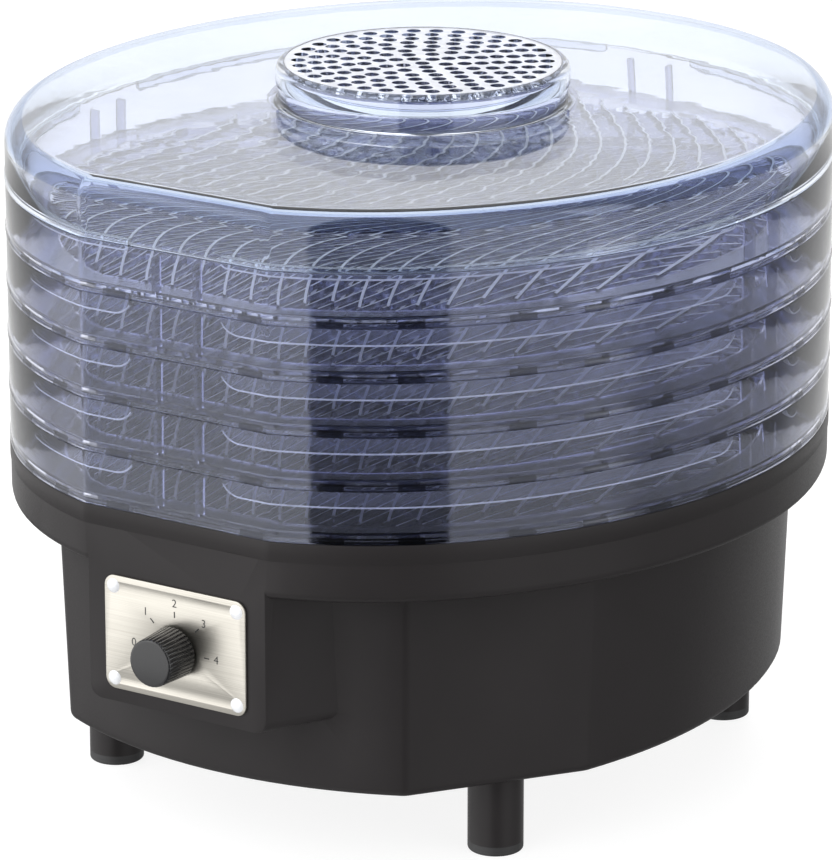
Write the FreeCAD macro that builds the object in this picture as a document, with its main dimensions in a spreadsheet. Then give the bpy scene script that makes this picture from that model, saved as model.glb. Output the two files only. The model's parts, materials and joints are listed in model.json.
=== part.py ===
import FreeCAD, Part
import math
import os
import Sketcher

# Stackable food dehydrator: a black fan and heater base on four feet, five clear trays and a vented lid.
# Frame: +Z up, control panel facing -Y, origin on the floor under the middle of the object.
# Every cabinet outline is one oval (two side arcs, two end arcs) with a flat cut across its front.

VECTOR = FreeCAD.Vector
UP = VECTOR(0, 0, 1)

# ---------------------------------------------------------------- driving dimensions (mm)
SIZES = {
    # oval outline of rim, trays and lid
    "half_width": 158.8, "side_radius": 197.15, "end_radius": 144.5, "front_flat": 174.2,
    # skirt outline below the rim, measured at its lower edge
    "skirt_half_width": 137.0, "skirt_side_radius": 220.0, "skirt_back_radius": 131.9,
    "skirt_front_radius": 181.0, "skirt_front_centre": 27.0, "skirt_flat_reach": 144.0,
    "skirt_flat_angle": 54.0, "skirt_draft": 2.0,
    # heights above the floor
    "skirt_bottom": 33.0, "rim_bottom": 118.0, "deck_top": 131.0, "base_top": 142.0,
    # housing shell
    "shell": 2.6, "rim_fillet": 4.0, "skirt_corner": 8.0, "skirt_edge": 4.0, "part_gap": 0.4,
    "box_half_width": 41.0, "box_back_half_width": 62.0, "box_bottom": 63.5, "box_depth": 40.0,
    "box_corner": 5.0, "edge_search": 6.0,
    # trays
    "tray_pitch": 21.2, "tray_wall": 2.2, "lip_proud": 0.4, "lip_height": 1.4, "nest_depth": 7.7,
    "nest_wall": 1.8, "nest_gap": 0.4, "nest_break": 20.0, "clear_inside": 100.0,
    "clear_outside": 200.0, "ledge_root": 1.0, "ledge_base": 1.2, "ledge_height": 2.0,
    "ledge_width": 11.0, "slat_width": 2.4, "slat_pitch": 15.0, "cross_pitch": 42.0, "cross_width": 3.0,
    "rib_half_pitch": 9.4, "rib_half_width": 0.8, "rib_depth": 4.0, "rib_height": 16.0, "rib_root": 0.3,
    "nest_overlap": 0.5,
    # lid
    "lid_height": 23.0, "lid_wall": 2.5, "lid_shoulder": 8.5, "lid_nest_depth": 3.5,
    "boss_radius": 58.7, "boss_height": 14.8, "boss_edge": 3.5, "boss_plate": 3.0,
    "vent_hole_radius": 3.1, "vent_outer_ring": 49.5, "vent_ring_step": 6.45, "vent_hole_pitch": 9.1,
    # deck and bottom plate
    "deck_plate": 2.5, "deck_wall": 2.5, "grille_inner": 40.0, "grille_outer": 68.0,
    "grille_half_slot": 3.0, "bottom_plate_base": 35.5, "bottom_plate_height": 2.5,
    "intake_inner": 30.0, "intake_outer": 66.0, "intake_half_slot": 2.5,
    # feet
    "foot_x": 91.0, "foot_y": 89.0, "foot_radius": 11.0, "pad_height": 4.0, "pad_edge": 1.2,
    "screw_radius": 2.0, "screw_head_radius": 4.2, "screw_head_height": 2.6, "screw_head_edge": 0.9,
    "screw_slot": 1.1, "screw_seat": 24.0, "screw_length": 26.0, "screw_clearance": 0.25,
    "foot_bore": 5.2, "post_radius": 6.0, "post_top": 58.0, "post_rib": 3.0, "post_rib_front": 110.6,
    "post_rib_rear": 117.0,
    # control panel
    "plate_width": 65.5, "plate_height": 46.2, "plate_thick": 1.2, "plate_corner": 4.5,
    "plate_middle": 92.4, "rivet_x": 28.6, "rivet_z": 18.8, "rivet_radius": 2.9, "rivet_dome": 1.1,
    "rivet_stem": 1.6, "rivet_gap": 0.05, "rivet_tail": 0.6, "bush_gap": 0.15, "hole_margin": 1.0,
    "dial_height": 89.9, "knob_radius": 10.2, "knob_length": 15.6, "knob_gap": 1.2, "knob_taper": 0.7,
    "knob_edge": 1.2, "knob_crown": 2.5, "knob_recess_radius": 7.6, "knob_recess_depth": 3.2,
    "flute_radius": 0.45, "flute_offset": 0.12, "pointer_height": 5.0, "pointer_edge": 0.5,
    "pointer_width": 2.2, "pointer_reach": 11.6, "shaft_radius": 3.0, "running_gap": 0.06,
    "bush_radius": 4.75, "nut_flats": 12.0, "nut_height": 2.4, "switch_width": 30.0,
    "switch_height": 28.0, "switch_depth": 20.0, "switch_edge": 1.5, "shaft_well": 12.0,
    # fan
    "duct_radius": 75.0, "duct_wall": 2.0, "bracket_level": 44.0, "bracket_height": 2.5,
    "bracket_reach": 66.0, "bracket_half_width": 9.0, "bracket_post": 7.0, "motor_radius": 29.0,
    "motor_height": 25.0, "motor_edge": 1.5, "motor_nose_radius": 7.0, "motor_nose_height": 3.0,
    "motor_bearing_base": 6.0, "shaft_end_gap": 1.0, "motor_screw_reach": 18.0,
    "motor_screw_depth": 8.0, "motor_screw_length": 10.0, "small_head_radius": 3.6,
    "small_head_height": 2.0, "small_slot": 0.9, "motor_bore": 2.55, "motor_shaft_radius": 2.5,
    "motor_shaft_top": 93.0, "fan_level": 76.0, "fan_hub_radius": 12.0, "fan_hub_height": 15.0,
    "fan_radius": 68.0, "fan_hub_edge": 1.5, "blade_thick": 1.8, "blade_half_chord": 19.5,
    "blade_root": 7.2, "blade_pitch": 32.0, "blade_margin": 2.0,
    # heater
    "heater_level": 99.0, "heater_height": 16.0, "mica_thick": 1.2, "mica_seat": 0.5,
    "coil_inner_ring": 30.0, "coil_outer_ring": 52.0, "coil_tube": 2.8,
    # thermal cut-out
    "cutout_radius": 7.0, "cutout_height": 6.0, "cutout_thick": 1.0, "cutout_length": 22.0,
    "cutout_width": 5.0, "cutout_tab_pitch": 6.0,
    # cord inlet
    "gland_height": 62.0, "gland_radius": 7.5, "gland_flange": 10.5, "gland_bore": 3.6,
    "gland_proud": 2.2, "gland_length": 9.0, "gland_flange_front": 9.0, "gland_flange_height": 1.9,
    "inlet_cut": 40.0,
}
KNOB_FLUTES = 36
FAN_BLADES = 5
GRILLE_SLOTS = 28
INTAKE_SLOTS = 24
TRAYS = 5
VENT_RINGS = 8


def value(text):
    """Number that a sum such as "tray_wall + nest_gap" of sheet names and plain numbers comes to."""
    total, sign = 0.0, 1
    for word in text.split():
        if word in ("+", "-"):
            sign = 1 if word == "+" else -1
        else:
            total += sign * (SIZES[word] if word in SIZES else float(word))
    return total


def formula(text):
    """The same sum as an expression on the sheet."""
    return " ".join("Sizes." + word if word in SIZES else word for word in text.split())


def bind(item, prop, text):
    item.setExpression(prop, formula(text))


def add_derived_sizes():
    """Sizes that follow from the driving ones."""
    s = SIZES
    s["side_centre"] = s["side_radius"] - s["half_width"]
    s["end_centre"] = math.sqrt((s["side_radius"] - s["end_radius"]) ** 2 - s["side_centre"] ** 2)
    s["skirt_side_centre"] = s["skirt_side_radius"] - s["skirt_half_width"]
    s["skirt_back_centre"] = math.sqrt(
        (s["skirt_side_radius"] - s["skirt_back_radius"]) ** 2 - s["skirt_side_centre"] ** 2)
    s["knob_face"] = s["front_flat"] + s["plate_thick"] + s["knob_gap"] + s["knob_length"]
    s["rear_reach"] = s["end_centre"] + s["end_radius"] + s["lip_proud"]
    s["axis_y"] = (s["knob_face"] - s["rear_reach"]) / 2
    s["lid_base"] = s["base_top"] + TRAYS * s["tray_pitch"]


def make_sheet(doc):
    sheet = doc.addObject("Spreadsheet::Sheet", "Sizes")
    for row, (name, number) in enumerate(SIZES.items(), start=1):
        sheet.set("A%d" % row, name)
        sheet.set("B%d" % row, repr(number))
        sheet.setAlias("B%d" % row, name)
    return sheet


# ---------------------------------------------------------------- bodies, sketches and features
def new_body(doc, label, level="0", along_y="axis_y"):
    """A body whose own origin is on the vertical axis of the oval, `level` above the floor."""
    body = doc.addObject("PartDesign::Body", label)
    body.Label = label
    bind(body, "Placement.Base.y", along_y)
    bind(body, "Placement.Base.z", level)
    return body


def new_sketch(body, name, level="0", role="XY_Plane"):
    sketch = body.newObject("Sketcher::SketchObject", name)
    sketch.AttachmentSupport = [(next(f for f in body.Origin.OriginFeatures if f.Role == role), "")]
    sketch.MapMode = "FlatFace"
    bind(sketch, "AttachmentOffset.Base.z", level)
    return sketch


def constrain(sketch, text, *arguments):
    """One dimension of the sketch, bound to the sheet."""
    index = sketch.addConstraint(Sketcher.Constraint(*arguments, value(text)))
    sketch.setExpression("Constraints[%d]" % index, formula(text))


def minus(inset):
    """The sum with every sign turned round, for taking it away from another sum."""
    words = ("+ " + inset).split() if inset[0] != "-" else inset.split()
    return " ".join({"+": "-", "-": "+"}.get(word, word) for word in words)


def arc(centre, radius, start, end):
    circle = Part.Circle(VECTOR(*centre, 0), UP, radius)
    return Part.ArcOfCircle(circle, start, end)


def join(sketch, first, second, kind="Tangent"):
    """The end of one edge meets the start of the next."""
    sketch.addConstraint(Sketcher.Constraint(kind, first, 2, second, 1))


def add_oval(sketch, inset="0"):
    """The cabinet outline, drawn `inset` inside the rim."""
    side_text = "side_radius " + minus(inset)
    end_text = "end_radius " + minus(inset)
    flat_text = "front_flat " + minus(inset)
    side, end, flat = value(side_text), value(end_text), value(flat_text)
    across, along = value("side_centre"), value("end_centre")
    turn = math.atan2(along, across)
    corner = math.acos((flat - along) / end)
    half = end * math.sin(corner)
    first = sketch.GeometryCount
    right, back, left, front_left, front, front_right = range(first, first + 6)
    sketch.addGeometry([
        arc((-across, 0), side, -turn, turn),
        arc((0, along), end, turn, math.pi - turn),
        arc((across, 0), side, math.pi - turn, math.pi + turn),
        arc((0, -along), end, math.pi + turn, 1.5 * math.pi - corner),
        Part.LineSegment(VECTOR(-half, -flat, 0), VECTOR(half, -flat, 0)),
        arc((0, -along), end, 1.5 * math.pi + corner, 2 * math.pi - turn),
    ], False)
    join(sketch, right, back)
    join(sketch, back, left)
    join(sketch, left, front_left)
    join(sketch, front_left, front, "Coincident")
    join(sketch, front, front_right, "Coincident")
    join(sketch, front_right, right)
    for side_arc in (right, left):
        sketch.addConstraint(Sketcher.Constraint("PointOnObject", side_arc, 3, -1))
    for end_arc in (back, front_right):
        sketch.addConstraint(Sketcher.Constraint("PointOnObject", end_arc, 3, -2))
    sketch.addConstraint(Sketcher.Constraint("Coincident", front_left, 3, front_right, 3))
    sketch.addConstraint(Sketcher.Constraint("Horizontal", front))
    sketch.addConstraint(Sketcher.Constraint("Equal", right, left))
    sketch.addConstraint(Sketcher.Constraint("Equal", back, front_right))
    constrain(sketch, side_text, "Radius", right)
    constrain(sketch, end_text, "Radius", back)
    constrain(sketch, "side_centre", "DistanceX", right, 3, -1, 1)
    constrain(sketch, flat_text, "DistanceY", front, 1, -1, 1)


def skirt_corners(inset):
    """Where the slanted flat leaves the front arc and meets the side arc, right-hand side."""
    angle = math.radians(value("skirt_flat_angle"))
    reach = value("skirt_flat_reach") - inset
    foot = VECTOR(reach * math.sin(angle), -reach * math.cos(angle), 0)
    along = VECTOR(math.cos(angle), math.sin(angle), 0)

    def crossing(centre, radius, sign):
        offset = foot - centre
        middle = -offset.dot(along)
        half = math.sqrt(middle ** 2 - offset.dot(offset) + radius ** 2)
        return foot + along * (middle + sign * half)

    front_centre = VECTOR(0, value("skirt_front_centre"), 0)
    side_centre = VECTOR(-value("skirt_side_centre"), 0, 0)
    front = crossing(front_centre, value("skirt_front_radius") - inset, -1)
    side = crossing(side_centre, value("skirt_side_radius") - inset, 1)
    return front_centre, side_centre, front, side


def add_skirt_outline(sketch, inset="0"):
    """The outline of the base below the rim: front arc, two slanted flats, side arcs and a back arc."""
    depth = value(inset)
    front_centre, side_centre, front, side = skirt_corners(depth)
    side_text = "skirt_side_radius " + minus(inset)
    back_text = "skirt_back_radius " + minus(inset)
    front_text = "skirt_front_radius " + minus(inset)
    across, along = value("skirt_side_centre"), value("skirt_back_centre")
    turn = math.atan2(along, across)
    start = math.atan2(side.y, side.x + across)
    sweep = math.atan2(front.x, front_centre.y - front.y)
    first = sketch.GeometryCount
    right, back, left, left_flat, nose, right_flat = range(first, first + 6)
    sketch.addGeometry([
        arc((-across, 0), value(side_text), start, turn),
        arc((0, along), value(back_text), turn, math.pi - turn),
        arc((across, 0), value(side_text), math.pi - turn, math.pi - start),
        Part.LineSegment(VECTOR(-side.x, side.y, 0), VECTOR(-front.x, front.y, 0)),
        arc((0, front_centre.y), value(front_text), 1.5 * math.pi - sweep, 1.5 * math.pi + sweep),
        Part.LineSegment(front, side),
    ], False)
    join(sketch, right, back)
    join(sketch, back, left)
    join(sketch, left, left_flat, "Coincident")
    join(sketch, left_flat, nose, "Coincident")
    join(sketch, nose, right_flat, "Coincident")
    join(sketch, right_flat, right, "Coincident")
    for side_arc in (right, left):
        sketch.addConstraint(Sketcher.Constraint("PointOnObject", side_arc, 3, -1))
    for middle_arc in (back, nose):
        sketch.addConstraint(Sketcher.Constraint("PointOnObject", middle_arc, 3, -2))
    sketch.addConstraint(Sketcher.Constraint("Equal", right, left))
    sketch.addConstraint(Sketcher.Constraint("Horizontal", nose, 1, nose, 2))
    sketch.addConstraint(Sketcher.Constraint("Horizontal", right, 1, left, 2))
    constrain(sketch, side_text, "Radius", right)
    constrain(sketch, back_text, "Radius", back)
    constrain(sketch, front_text, "Radius", nose)
    constrain(sketch, "skirt_side_centre", "DistanceX", right, 3, -1, 1)
    constrain(sketch, "skirt_front_centre", "DistanceY", -1, 1, nose, 3)
    constrain(sketch, "skirt_flat_reach " + minus(inset), "Distance", -1, 1, right_flat)
    index = sketch.addConstraint(Sketcher.Constraint(
        "Angle", right_flat, math.radians(value("skirt_flat_angle"))))
    sketch.setExpression("Constraints[%d]" % index, "Sizes.skirt_flat_angle * 1 deg")


def add_circle(sketch, radius, x="0", y="0"):
    """A circle whose centre is (x, y); a coordinate is a sum from the sheet, or "0" for an axis."""
    index = sketch.addGeometry(Part.Circle(VECTOR(value(x), value(y), 0), UP, value(radius)), False)
    constrain(sketch, radius, "Radius", index)
    for kind, text, axis in (("DistanceX", x, -2), ("DistanceY", y, -1)):
        if value(text) == 0:
            sketch.addConstraint(Sketcher.Constraint("PointOnObject", index, 3, axis))
        elif value(text) > 0:
            constrain(sketch, text, kind, -1, 1, index, 3)
        else:
            constrain(sketch, minus(text)[2:], kind, index, 3, -1, 1)


def add_rectangle(sketch, left, right, low, high):
    """A rectangle between two x and two y values, each a sum from the sheet."""
    x0, x1, y0, y1 = value(left), value(right), value(low), value(high)
    corners = [VECTOR(x0, y0, 0), VECTOR(x1, y0, 0), VECTOR(x1, y1, 0), VECTOR(x0, y1, 0)]
    first = sketch.GeometryCount
    for index in range(4):
        sketch.addGeometry(Part.LineSegment(corners[index], corners[(index + 1) % 4]), False)
    for index in range(4):
        join(sketch, first + index, first + (index + 1) % 4, "Coincident")
    for index, kind in enumerate(("Horizontal", "Vertical", "Horizontal", "Vertical")):
        sketch.addConstraint(Sketcher.Constraint(kind, first + index))
    for kind, text, edge in (("DistanceX", left, 0), ("DistanceX", right, 2),
                             ("DistanceY", low, 0), ("DistanceY", high, 2)):
        sign = -1 if value(text) < 0 else 1
        target = ((-1, 1, first + edge, 1) if sign > 0 else (first + edge, 1, -1, 1))
        constrain(sketch, text if sign > 0 else minus(text)[2:], kind, *target)


def add_splayed_box(sketch, inset="0"):
    """Outline of the control box: flat front, sides that spread towards the back."""
    front, back = value("box_half_width " + minus(inset)), value("box_back_half_width " + minus(inset))
    near, far = value("0 - front_flat + " + inset), value("0 - front_flat + box_depth")
    corners = [VECTOR(-front, near, 0), VECTOR(front, near, 0), VECTOR(back, far, 0), VECTOR(-back, far, 0)]
    first = sketch.GeometryCount
    for index in range(4):
        sketch.addGeometry(Part.LineSegment(corners[index], corners[(index + 1) % 4]), False)
    for index in range(4):
        join(sketch, first + index, first + (index + 1) % 4, "Coincident")
    nose, right, rear = first, first + 1, first + 2
    sketch.addConstraint(Sketcher.Constraint("Horizontal", nose))
    sketch.addConstraint(Sketcher.Constraint("Horizontal", rear))
    constrain(sketch, "box_half_width " + minus(inset), "DistanceX", -1, 1, nose, 2)
    constrain(sketch, "box_half_width " + minus(inset), "DistanceX", nose, 1, -1, 1)
    constrain(sketch, "box_back_half_width " + minus(inset), "DistanceX", -1, 1, right, 2)
    constrain(sketch, "box_back_half_width " + minus(inset), "DistanceX", rear, 2, -1, 1)
    constrain(sketch, "front_flat " + minus(inset), "DistanceY", nose, 1, -1, 1)
    constrain(sketch, "front_flat - box_depth", "DistanceY", right, 2, -1, 1)


def pad(body, sketch, length, name=None, taper=None, reverse=False):
    feature = body.newObject("PartDesign::Pad", name or sketch.Name + "_pad")
    feature.Profile = sketch
    feature.Reversed = reverse
    feature.Length = value(length)
    bind(feature, "Length", length)
    if taper:
        feature.TaperAngle = value(taper)
        bind(feature, "TaperAngle", taper)
    return feature


def pocket(body, sketch, length, upward=True):
    """Cuts along the sketch's normal when `upward`, against it otherwise."""
    feature = body.newObject("PartDesign::Pocket", sketch.Name + "_pocket")
    feature.Profile = sketch
    feature.Reversed = upward
    feature.Length = value(length)
    bind(feature, "Length", length)
    return feature


def ring(body, name, level, height, outer, inner):
    """An oval wall between two insets."""
    sketch = new_sketch(body, name, level)
    add_oval(sketch, outer)
    add_oval(sketch, inner)
    return pad(body, sketch, height)


def disc(body, name, level, height, radius, x="0", y="0"):
    sketch = new_sketch(body, name, level)
    add_circle(sketch, radius, x, y)
    return pad(body, sketch, height)


def bore(body, name, level, depth, radius, x="0", y="0"):
    sketch = new_sketch(body, name, level)
    add_circle(sketch, radius, x, y)
    return pocket(body, sketch, depth)


def round_edges(body, base, name, radius, keep):
    """Fillets the edges of `base` that `keep` accepts."""
    FreeCAD.ActiveDocument.recompute()
    names = ["Edge%d" % (i + 1) for i, edge in enumerate(base.Shape.Edges) if keep(edge)]
    if not names:
        raise RuntimeError("no edge found for " + name)
    feature = body.newObject("PartDesign::Fillet", name)
    feature.Base = (base, names)
    feature.Radius = value(radius)
    bind(feature, "Radius", radius)
    return feature


def polar(body, feature, count, name):
    """Repeats a feature about the body's Z axis."""
    pattern = body.newObject("PartDesign::PolarPattern", name)
    pattern.Originals = [feature]
    z_axis = next(f for f in body.Origin.OriginFeatures if f.Role == "Z_Axis")
    pattern.Axis = (z_axis, [""])
    pattern.Angle = 360
    pattern.Occurrences = count
    body.Tip = pattern
    return pattern


def level_edge(height, low=-1e3, high=1e3):
    """Accepts edges that lie flat at one height of the body and start between two Y values."""
    def keep(edge):
        points = [vertex.Point for vertex in edge.Vertexes]
        return all(abs(p.z - height) < 1e-4 and low < p.y < high for p in points) and bool(points)
    return keep


def upright_edge(place):
    """Accepts edges that stand near one place, on either side of the object."""
    reach = value("edge_search")

    def keep(edge):
        points = [vertex.Point for vertex in edge.Vertexes]
        spans = len(points) == 2 and abs(points[0].z - points[1].z) > reach
        return spans and all(abs(abs(p.x) - place.x) < reach and abs(p.y - place.y) < reach
                             for p in points)
    return keep


# ---------------------------------------------------------------- base
def make_base_housing(doc):
    """Rim, skirt and control box in one moulded shell, open at the top and at the bottom."""
    body = new_body(doc, "base_housing")
    skirt = new_sketch(body, "housing_skirt", "skirt_bottom")
    add_skirt_outline(skirt)
    skirt_pad = pad(body, skirt, "rim_bottom - skirt_bottom + shell", taper="skirt_draft")
    _, _, front, side = skirt_corners(0)
    corners = round_edges(body, skirt_pad, "skirt_corners", "skirt_corner",
                          lambda edge: upright_edge(front)(edge) or upright_edge(side)(edge))
    round_edges(body, corners, "skirt_lower_edge", "skirt_edge",
                level_edge(value("skirt_bottom")))
    rim = new_sketch(body, "housing_rim", "rim_bottom")
    add_oval(rim)
    rim_pad = pad(body, rim, "base_top - rim_bottom")
    outline = value("skirt_half_width + skirt_corner")
    round_edges(body, rim_pad, "rim_lower_edge", "rim_fillet",
                lambda edge: level_edge(value("rim_bottom"))(edge)
                and min(math.hypot(v.X, v.Y) for v in edge.Vertexes) > outline)
    box = new_sketch(body, "housing_box", "box_bottom")
    add_splayed_box(box)
    box_pad = pad(body, box, "base_top - box_bottom")
    floor, back = value("box_bottom"), value("box_depth - front_flat - shell")
    round_edges(body, box_pad, "box_lower_corners", "box_corner",
                lambda edge: level_edge(floor)(edge)
                and abs(edge.Vertexes[0].X - edge.Vertexes[1].X) < value("box_depth")
                and min(vertex.Y for vertex in edge.Vertexes) < back)
    add_housing_hollows(body)
    add_housing_posts(body)
    add_housing_holes(body)
    return body


def add_housing_hollows(body):
    rim = new_sketch(body, "hollow_rim", "rim_bottom + shell")
    add_oval(rim, "shell")
    pocket(body, rim, "base_top - rim_bottom - shell")
    skirt = new_sketch(body, "hollow_skirt", "skirt_bottom")
    add_skirt_outline(skirt, "shell")
    pocket(body, skirt, "rim_bottom - skirt_bottom + shell")
    box = new_sketch(body, "hollow_box", "box_bottom + shell")
    add_splayed_box(box, "shell")
    pocket(body, box, "base_top - box_bottom - shell")


def add_housing_posts(body):
    """Four screw posts, each tied to the skirt by a rib."""
    for x_sign in ("", "0 - "):
        for y_sign in ("", "0 - "):
            name = "post_%s%s" % ("left" if x_sign else "right", "_front" if y_sign else "_rear")
            x, y = x_sign + "foot_x", y_sign + "foot_y"
            low = "bottom_plate_base + bottom_plate_height"
            height = "post_top - bottom_plate_base - bottom_plate_height"
            disc(body, name, low, height, "post_radius", x, y)
            rib = new_sketch(body, name + "_rib", low)
            wall = x_sign + ("post_rib_front" if y_sign else "post_rib_rear")
            ends = (wall, x) if x_sign else (x, wall)
            add_rectangle(rib, *ends, y + " - post_rib", y)
            pad(body, rib, height)
            bore(body, name + "_pilot", low, height, "screw_radius", x, y)


def add_housing_holes(body):
    """Panel holes for the switch bush and the rivets, and the cord inlet at the back."""
    panel = new_sketch(body, "panel_holes", "front_flat - shell - hole_margin", role="XZ_Plane")
    add_circle(panel, "bush_radius + bush_gap", "0", "dial_height")
    for x in ("rivet_x", "0 - rivet_x"):
        for z in ("plate_middle + rivet_z", "plate_middle - rivet_z"):
            add_circle(panel, "rivet_stem + rivet_gap", x, z)
    pocket(body, panel, "shell + hole_margin + hole_margin")
    inlet = new_sketch(body, "cord_inlet", "0 - rear_reach", role="XZ_Plane")
    add_circle(inlet, "gland_radius", "0", "gland_height")
    pocket(body, inlet, "inlet_cut")


def make_bottom_plate(doc):
    """Cover under the base, with a ring of intake slots below the fan."""
    body = new_body(doc, "bottom_plate", "bottom_plate_base")
    outline = new_sketch(body, "bottom_outline")
    add_skirt_outline(outline, "shell + part_gap")
    pad(body, outline, "bottom_plate_height")
    slot = new_sketch(body, "intake_slot_shape")
    add_rectangle(slot, "intake_inner", "intake_outer", "0 - intake_half_slot", "intake_half_slot")
    polar(body, pocket(body, slot, "bottom_plate_height"), INTAKE_SLOTS, "intake_ring")
    for name, x, y in foot_places():
        bore(body, "screw_hole_" + name, "0", "bottom_plate_height", "screw_radius + screw_clearance", x, y)
    return body


def make_air_deck(doc):
    """Plate that closes the base inside the rim, with the outlet grille over the heater."""
    body = new_body(doc, "air_deck")
    plate = new_sketch(body, "deck_outline", "deck_top - deck_plate")
    add_oval(plate, "shell + part_gap")
    pad(body, plate, "deck_plate")
    ring(body, "deck_skirt", "rim_bottom + shell", "deck_top - rim_bottom - shell - deck_plate",
         "shell + part_gap", "shell + part_gap + deck_wall")
    slot = new_sketch(body, "grille_slot_shape", "deck_top - deck_plate")
    add_rectangle(slot, "grille_inner", "grille_outer", "0 - grille_half_slot", "grille_half_slot")
    polar(body, pocket(body, slot, "deck_plate"), GRILLE_SLOTS, "grille_ring")
    return body


def foot_places():
    for rear, y in (("front", "0 - foot_y"), ("rear", "foot_y")):
        for hand, x in (("left", "0 - foot_x"), ("right", "foot_x")):
            yield rear + "_" + hand, x, y


def make_feet(doc):
    """Four plain tubular feet, screwed up through the bottom plate."""
    feet = []
    for name, x, y in foot_places():
        body = new_body(doc, "foot_" + name, "pad_height")
        disc(body, "column_" + name, "0", "bottom_plate_base - pad_height", "foot_radius", x, y)
        bore(body, "well_" + name, "0", "screw_seat - pad_height", "foot_bore", x, y)
        bore(body, "hole_" + name, "screw_seat - pad_height", "bottom_plate_base - screw_seat",
             "screw_radius + screw_clearance", x, y)
        feet.append(body)
    return feet


def foot_centres():
    return [VECTOR(value(x), value(y), 0) for _, x, y in foot_places()]


def group(doc, label, solids, level="0", along_y="axis_y"):
    """Identical small pieces kept as one named group of separate solids."""
    item = doc.addObject("Part::Feature", label)
    item.Label = label
    item.Shape = Part.makeCompound(solids) if len(solids) > 1 else solids[0]
    bind(item, "Placement.Base.y", along_y)
    bind(item, "Placement.Base.z", level)
    return item


def make_foot_pads(doc):
    """Rubber rings under the feet; the hole leaves the screw within reach."""
    pads = []
    for centre in foot_centres():
        solid = Part.makeCylinder(value("foot_radius"), value("pad_height"), centre, UP)
        low = [edge for edge in solid.Edges if level_edge(0)(edge)]
        solid = solid.makeFillet(value("pad_edge"), low)
        pads.append(solid.cut(Part.makeCylinder(value("foot_bore"), value("pad_height"), centre, UP)))
    return group(doc, "foot_pads", pads)


def make_foot_screws(doc):
    """Pan-head screws from inside each foot into the posts of the housing."""
    screws = []
    for centre in foot_centres():
        head_base = centre + UP * (value("screw_seat") - value("screw_head_height"))
        head = Part.makeCylinder(value("screw_head_radius"), value("screw_head_height"), head_base, UP)
        head = head.makeFillet(value("screw_head_edge"),
                               [edge for edge in head.Edges if level_edge(head_base.z)(edge)])
        seat = centre + UP * value("screw_seat")
        shank = Part.makeCylinder(value("screw_radius"), value("screw_length"), seat, UP)
        radius, width = value("screw_head_radius"), value("screw_slot")
        slot = Part.makeBox(2 * radius, width, width, head_base - VECTOR(radius, width / 2, 0))
        cross = slot.copy()
        cross.rotate(head_base, UP, 90)
        screws.append(head.fuse(shank).cut(slot).cut(cross))
    return group(doc, "foot_screws", screws)


# ---------------------------------------------------------------- control panel
def panel_group(doc, label, solids):
    """Pieces drawn in panel axes: x across, y up from the floor, z out of the panel's front face."""
    turn = FreeCAD.Rotation(VECTOR(1, 0, 0), 90)
    item = doc.addObject("Part::Feature", label)
    item.Label = label
    item.Shape = Part.makeCompound(solids) if len(solids) > 1 else solids[0]
    item.Placement = FreeCAD.Placement(VECTOR(0, value("axis_y - front_flat"), 0), turn)
    bind(item, "Placement.Base.y", "axis_y - front_flat")
    return item


def make_control_plate(doc):
    width, height, thick = value("plate_width"), value("plate_height"), value("plate_thick")
    corner = VECTOR(-width / 2, value("plate_middle") - height / 2, 0)
    plate = Part.makeBox(width, height, thick, corner)
    upright = [e for e in plate.Edges if abs(e.Vertexes[0].Z - e.Vertexes[1].Z) > thick / 2]
    plate = plate.makeFillet(value("plate_corner"), upright)
    holes = [Part.makeCylinder(value("rivet_stem + rivet_gap"), thick, place, UP) for place in rivet_places()]
    dial = VECTOR(0, value("dial_height"), 0)
    holes.append(Part.makeCylinder(value("bush_radius + bush_gap"), thick, dial, UP))
    return panel_group(doc, "control_plate", [plate.cut(holes)])


def rivet_places():
    for x in (-1, 1):
        for z in (-1, 1):
            yield VECTOR(x * value("rivet_x"), value("plate_middle") + z * value("rivet_z"), 0)


def make_rivets(doc):
    """Domed rivet heads with stems through the plate and the housing."""
    radius, dome = value("rivet_radius"), value("rivet_dome")
    ball = (radius ** 2 + dome ** 2) / (2 * dome)
    rivets = []
    for place in rivet_places():
        base = place + UP * value("plate_thick")
        sphere = Part.makeSphere(ball, base + UP * (dome - ball))
        head = sphere.common(Part.makeCylinder(radius, dome, base, UP))
        stem_base = place - UP * value("shell + rivet_tail")
        stem = Part.makeCylinder(value("rivet_stem"), value("shell + rivet_tail + plate_thick"),
                                 stem_base, UP)
        rivets.append(head.fuse(stem))
    return panel_group(doc, "plate_rivets", rivets)


def make_switch(doc):
    """Rotary switch behind the panel, with its threaded bush through the panel."""
    dial = VECTOR(0, value("dial_height"), 0)
    back = -value("shell")
    depth = value("switch_depth")
    block = Part.makeBox(value("switch_width"), value("switch_height"), depth,
                         dial + VECTOR(-value("switch_width") / 2, -value("switch_height") / 2, back - depth))
    block = block.makeFillet(value("switch_edge"), block.Edges)
    bush = Part.makeCylinder(value("bush_radius"), value("shell + plate_thick + nut_height"),
                             dial + UP * back, UP)
    hole = Part.makeCylinder(value("shaft_radius + running_gap"), depth,
                             dial + UP * (back - value("shaft_well")), UP)
    return panel_group(doc, "rotary_switch", [block.fuse(bush).cut(hole)])


def make_switch_nut(doc):
    dial = VECTOR(0, value("dial_height"), value("plate_thick"))
    radius = value("nut_flats") / math.sqrt(3)
    corners = [dial + VECTOR(radius * math.cos(k * math.pi / 3), radius * math.sin(k * math.pi / 3), 0)
               for k in range(7)]
    nut = Part.Face(Part.makePolygon(corners)).extrude(UP * value("nut_height"))
    return panel_group(doc, "switch_nut", [nut.cut(
        Part.makeCylinder(value("bush_radius"), value("nut_height"), dial, UP))])


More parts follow.
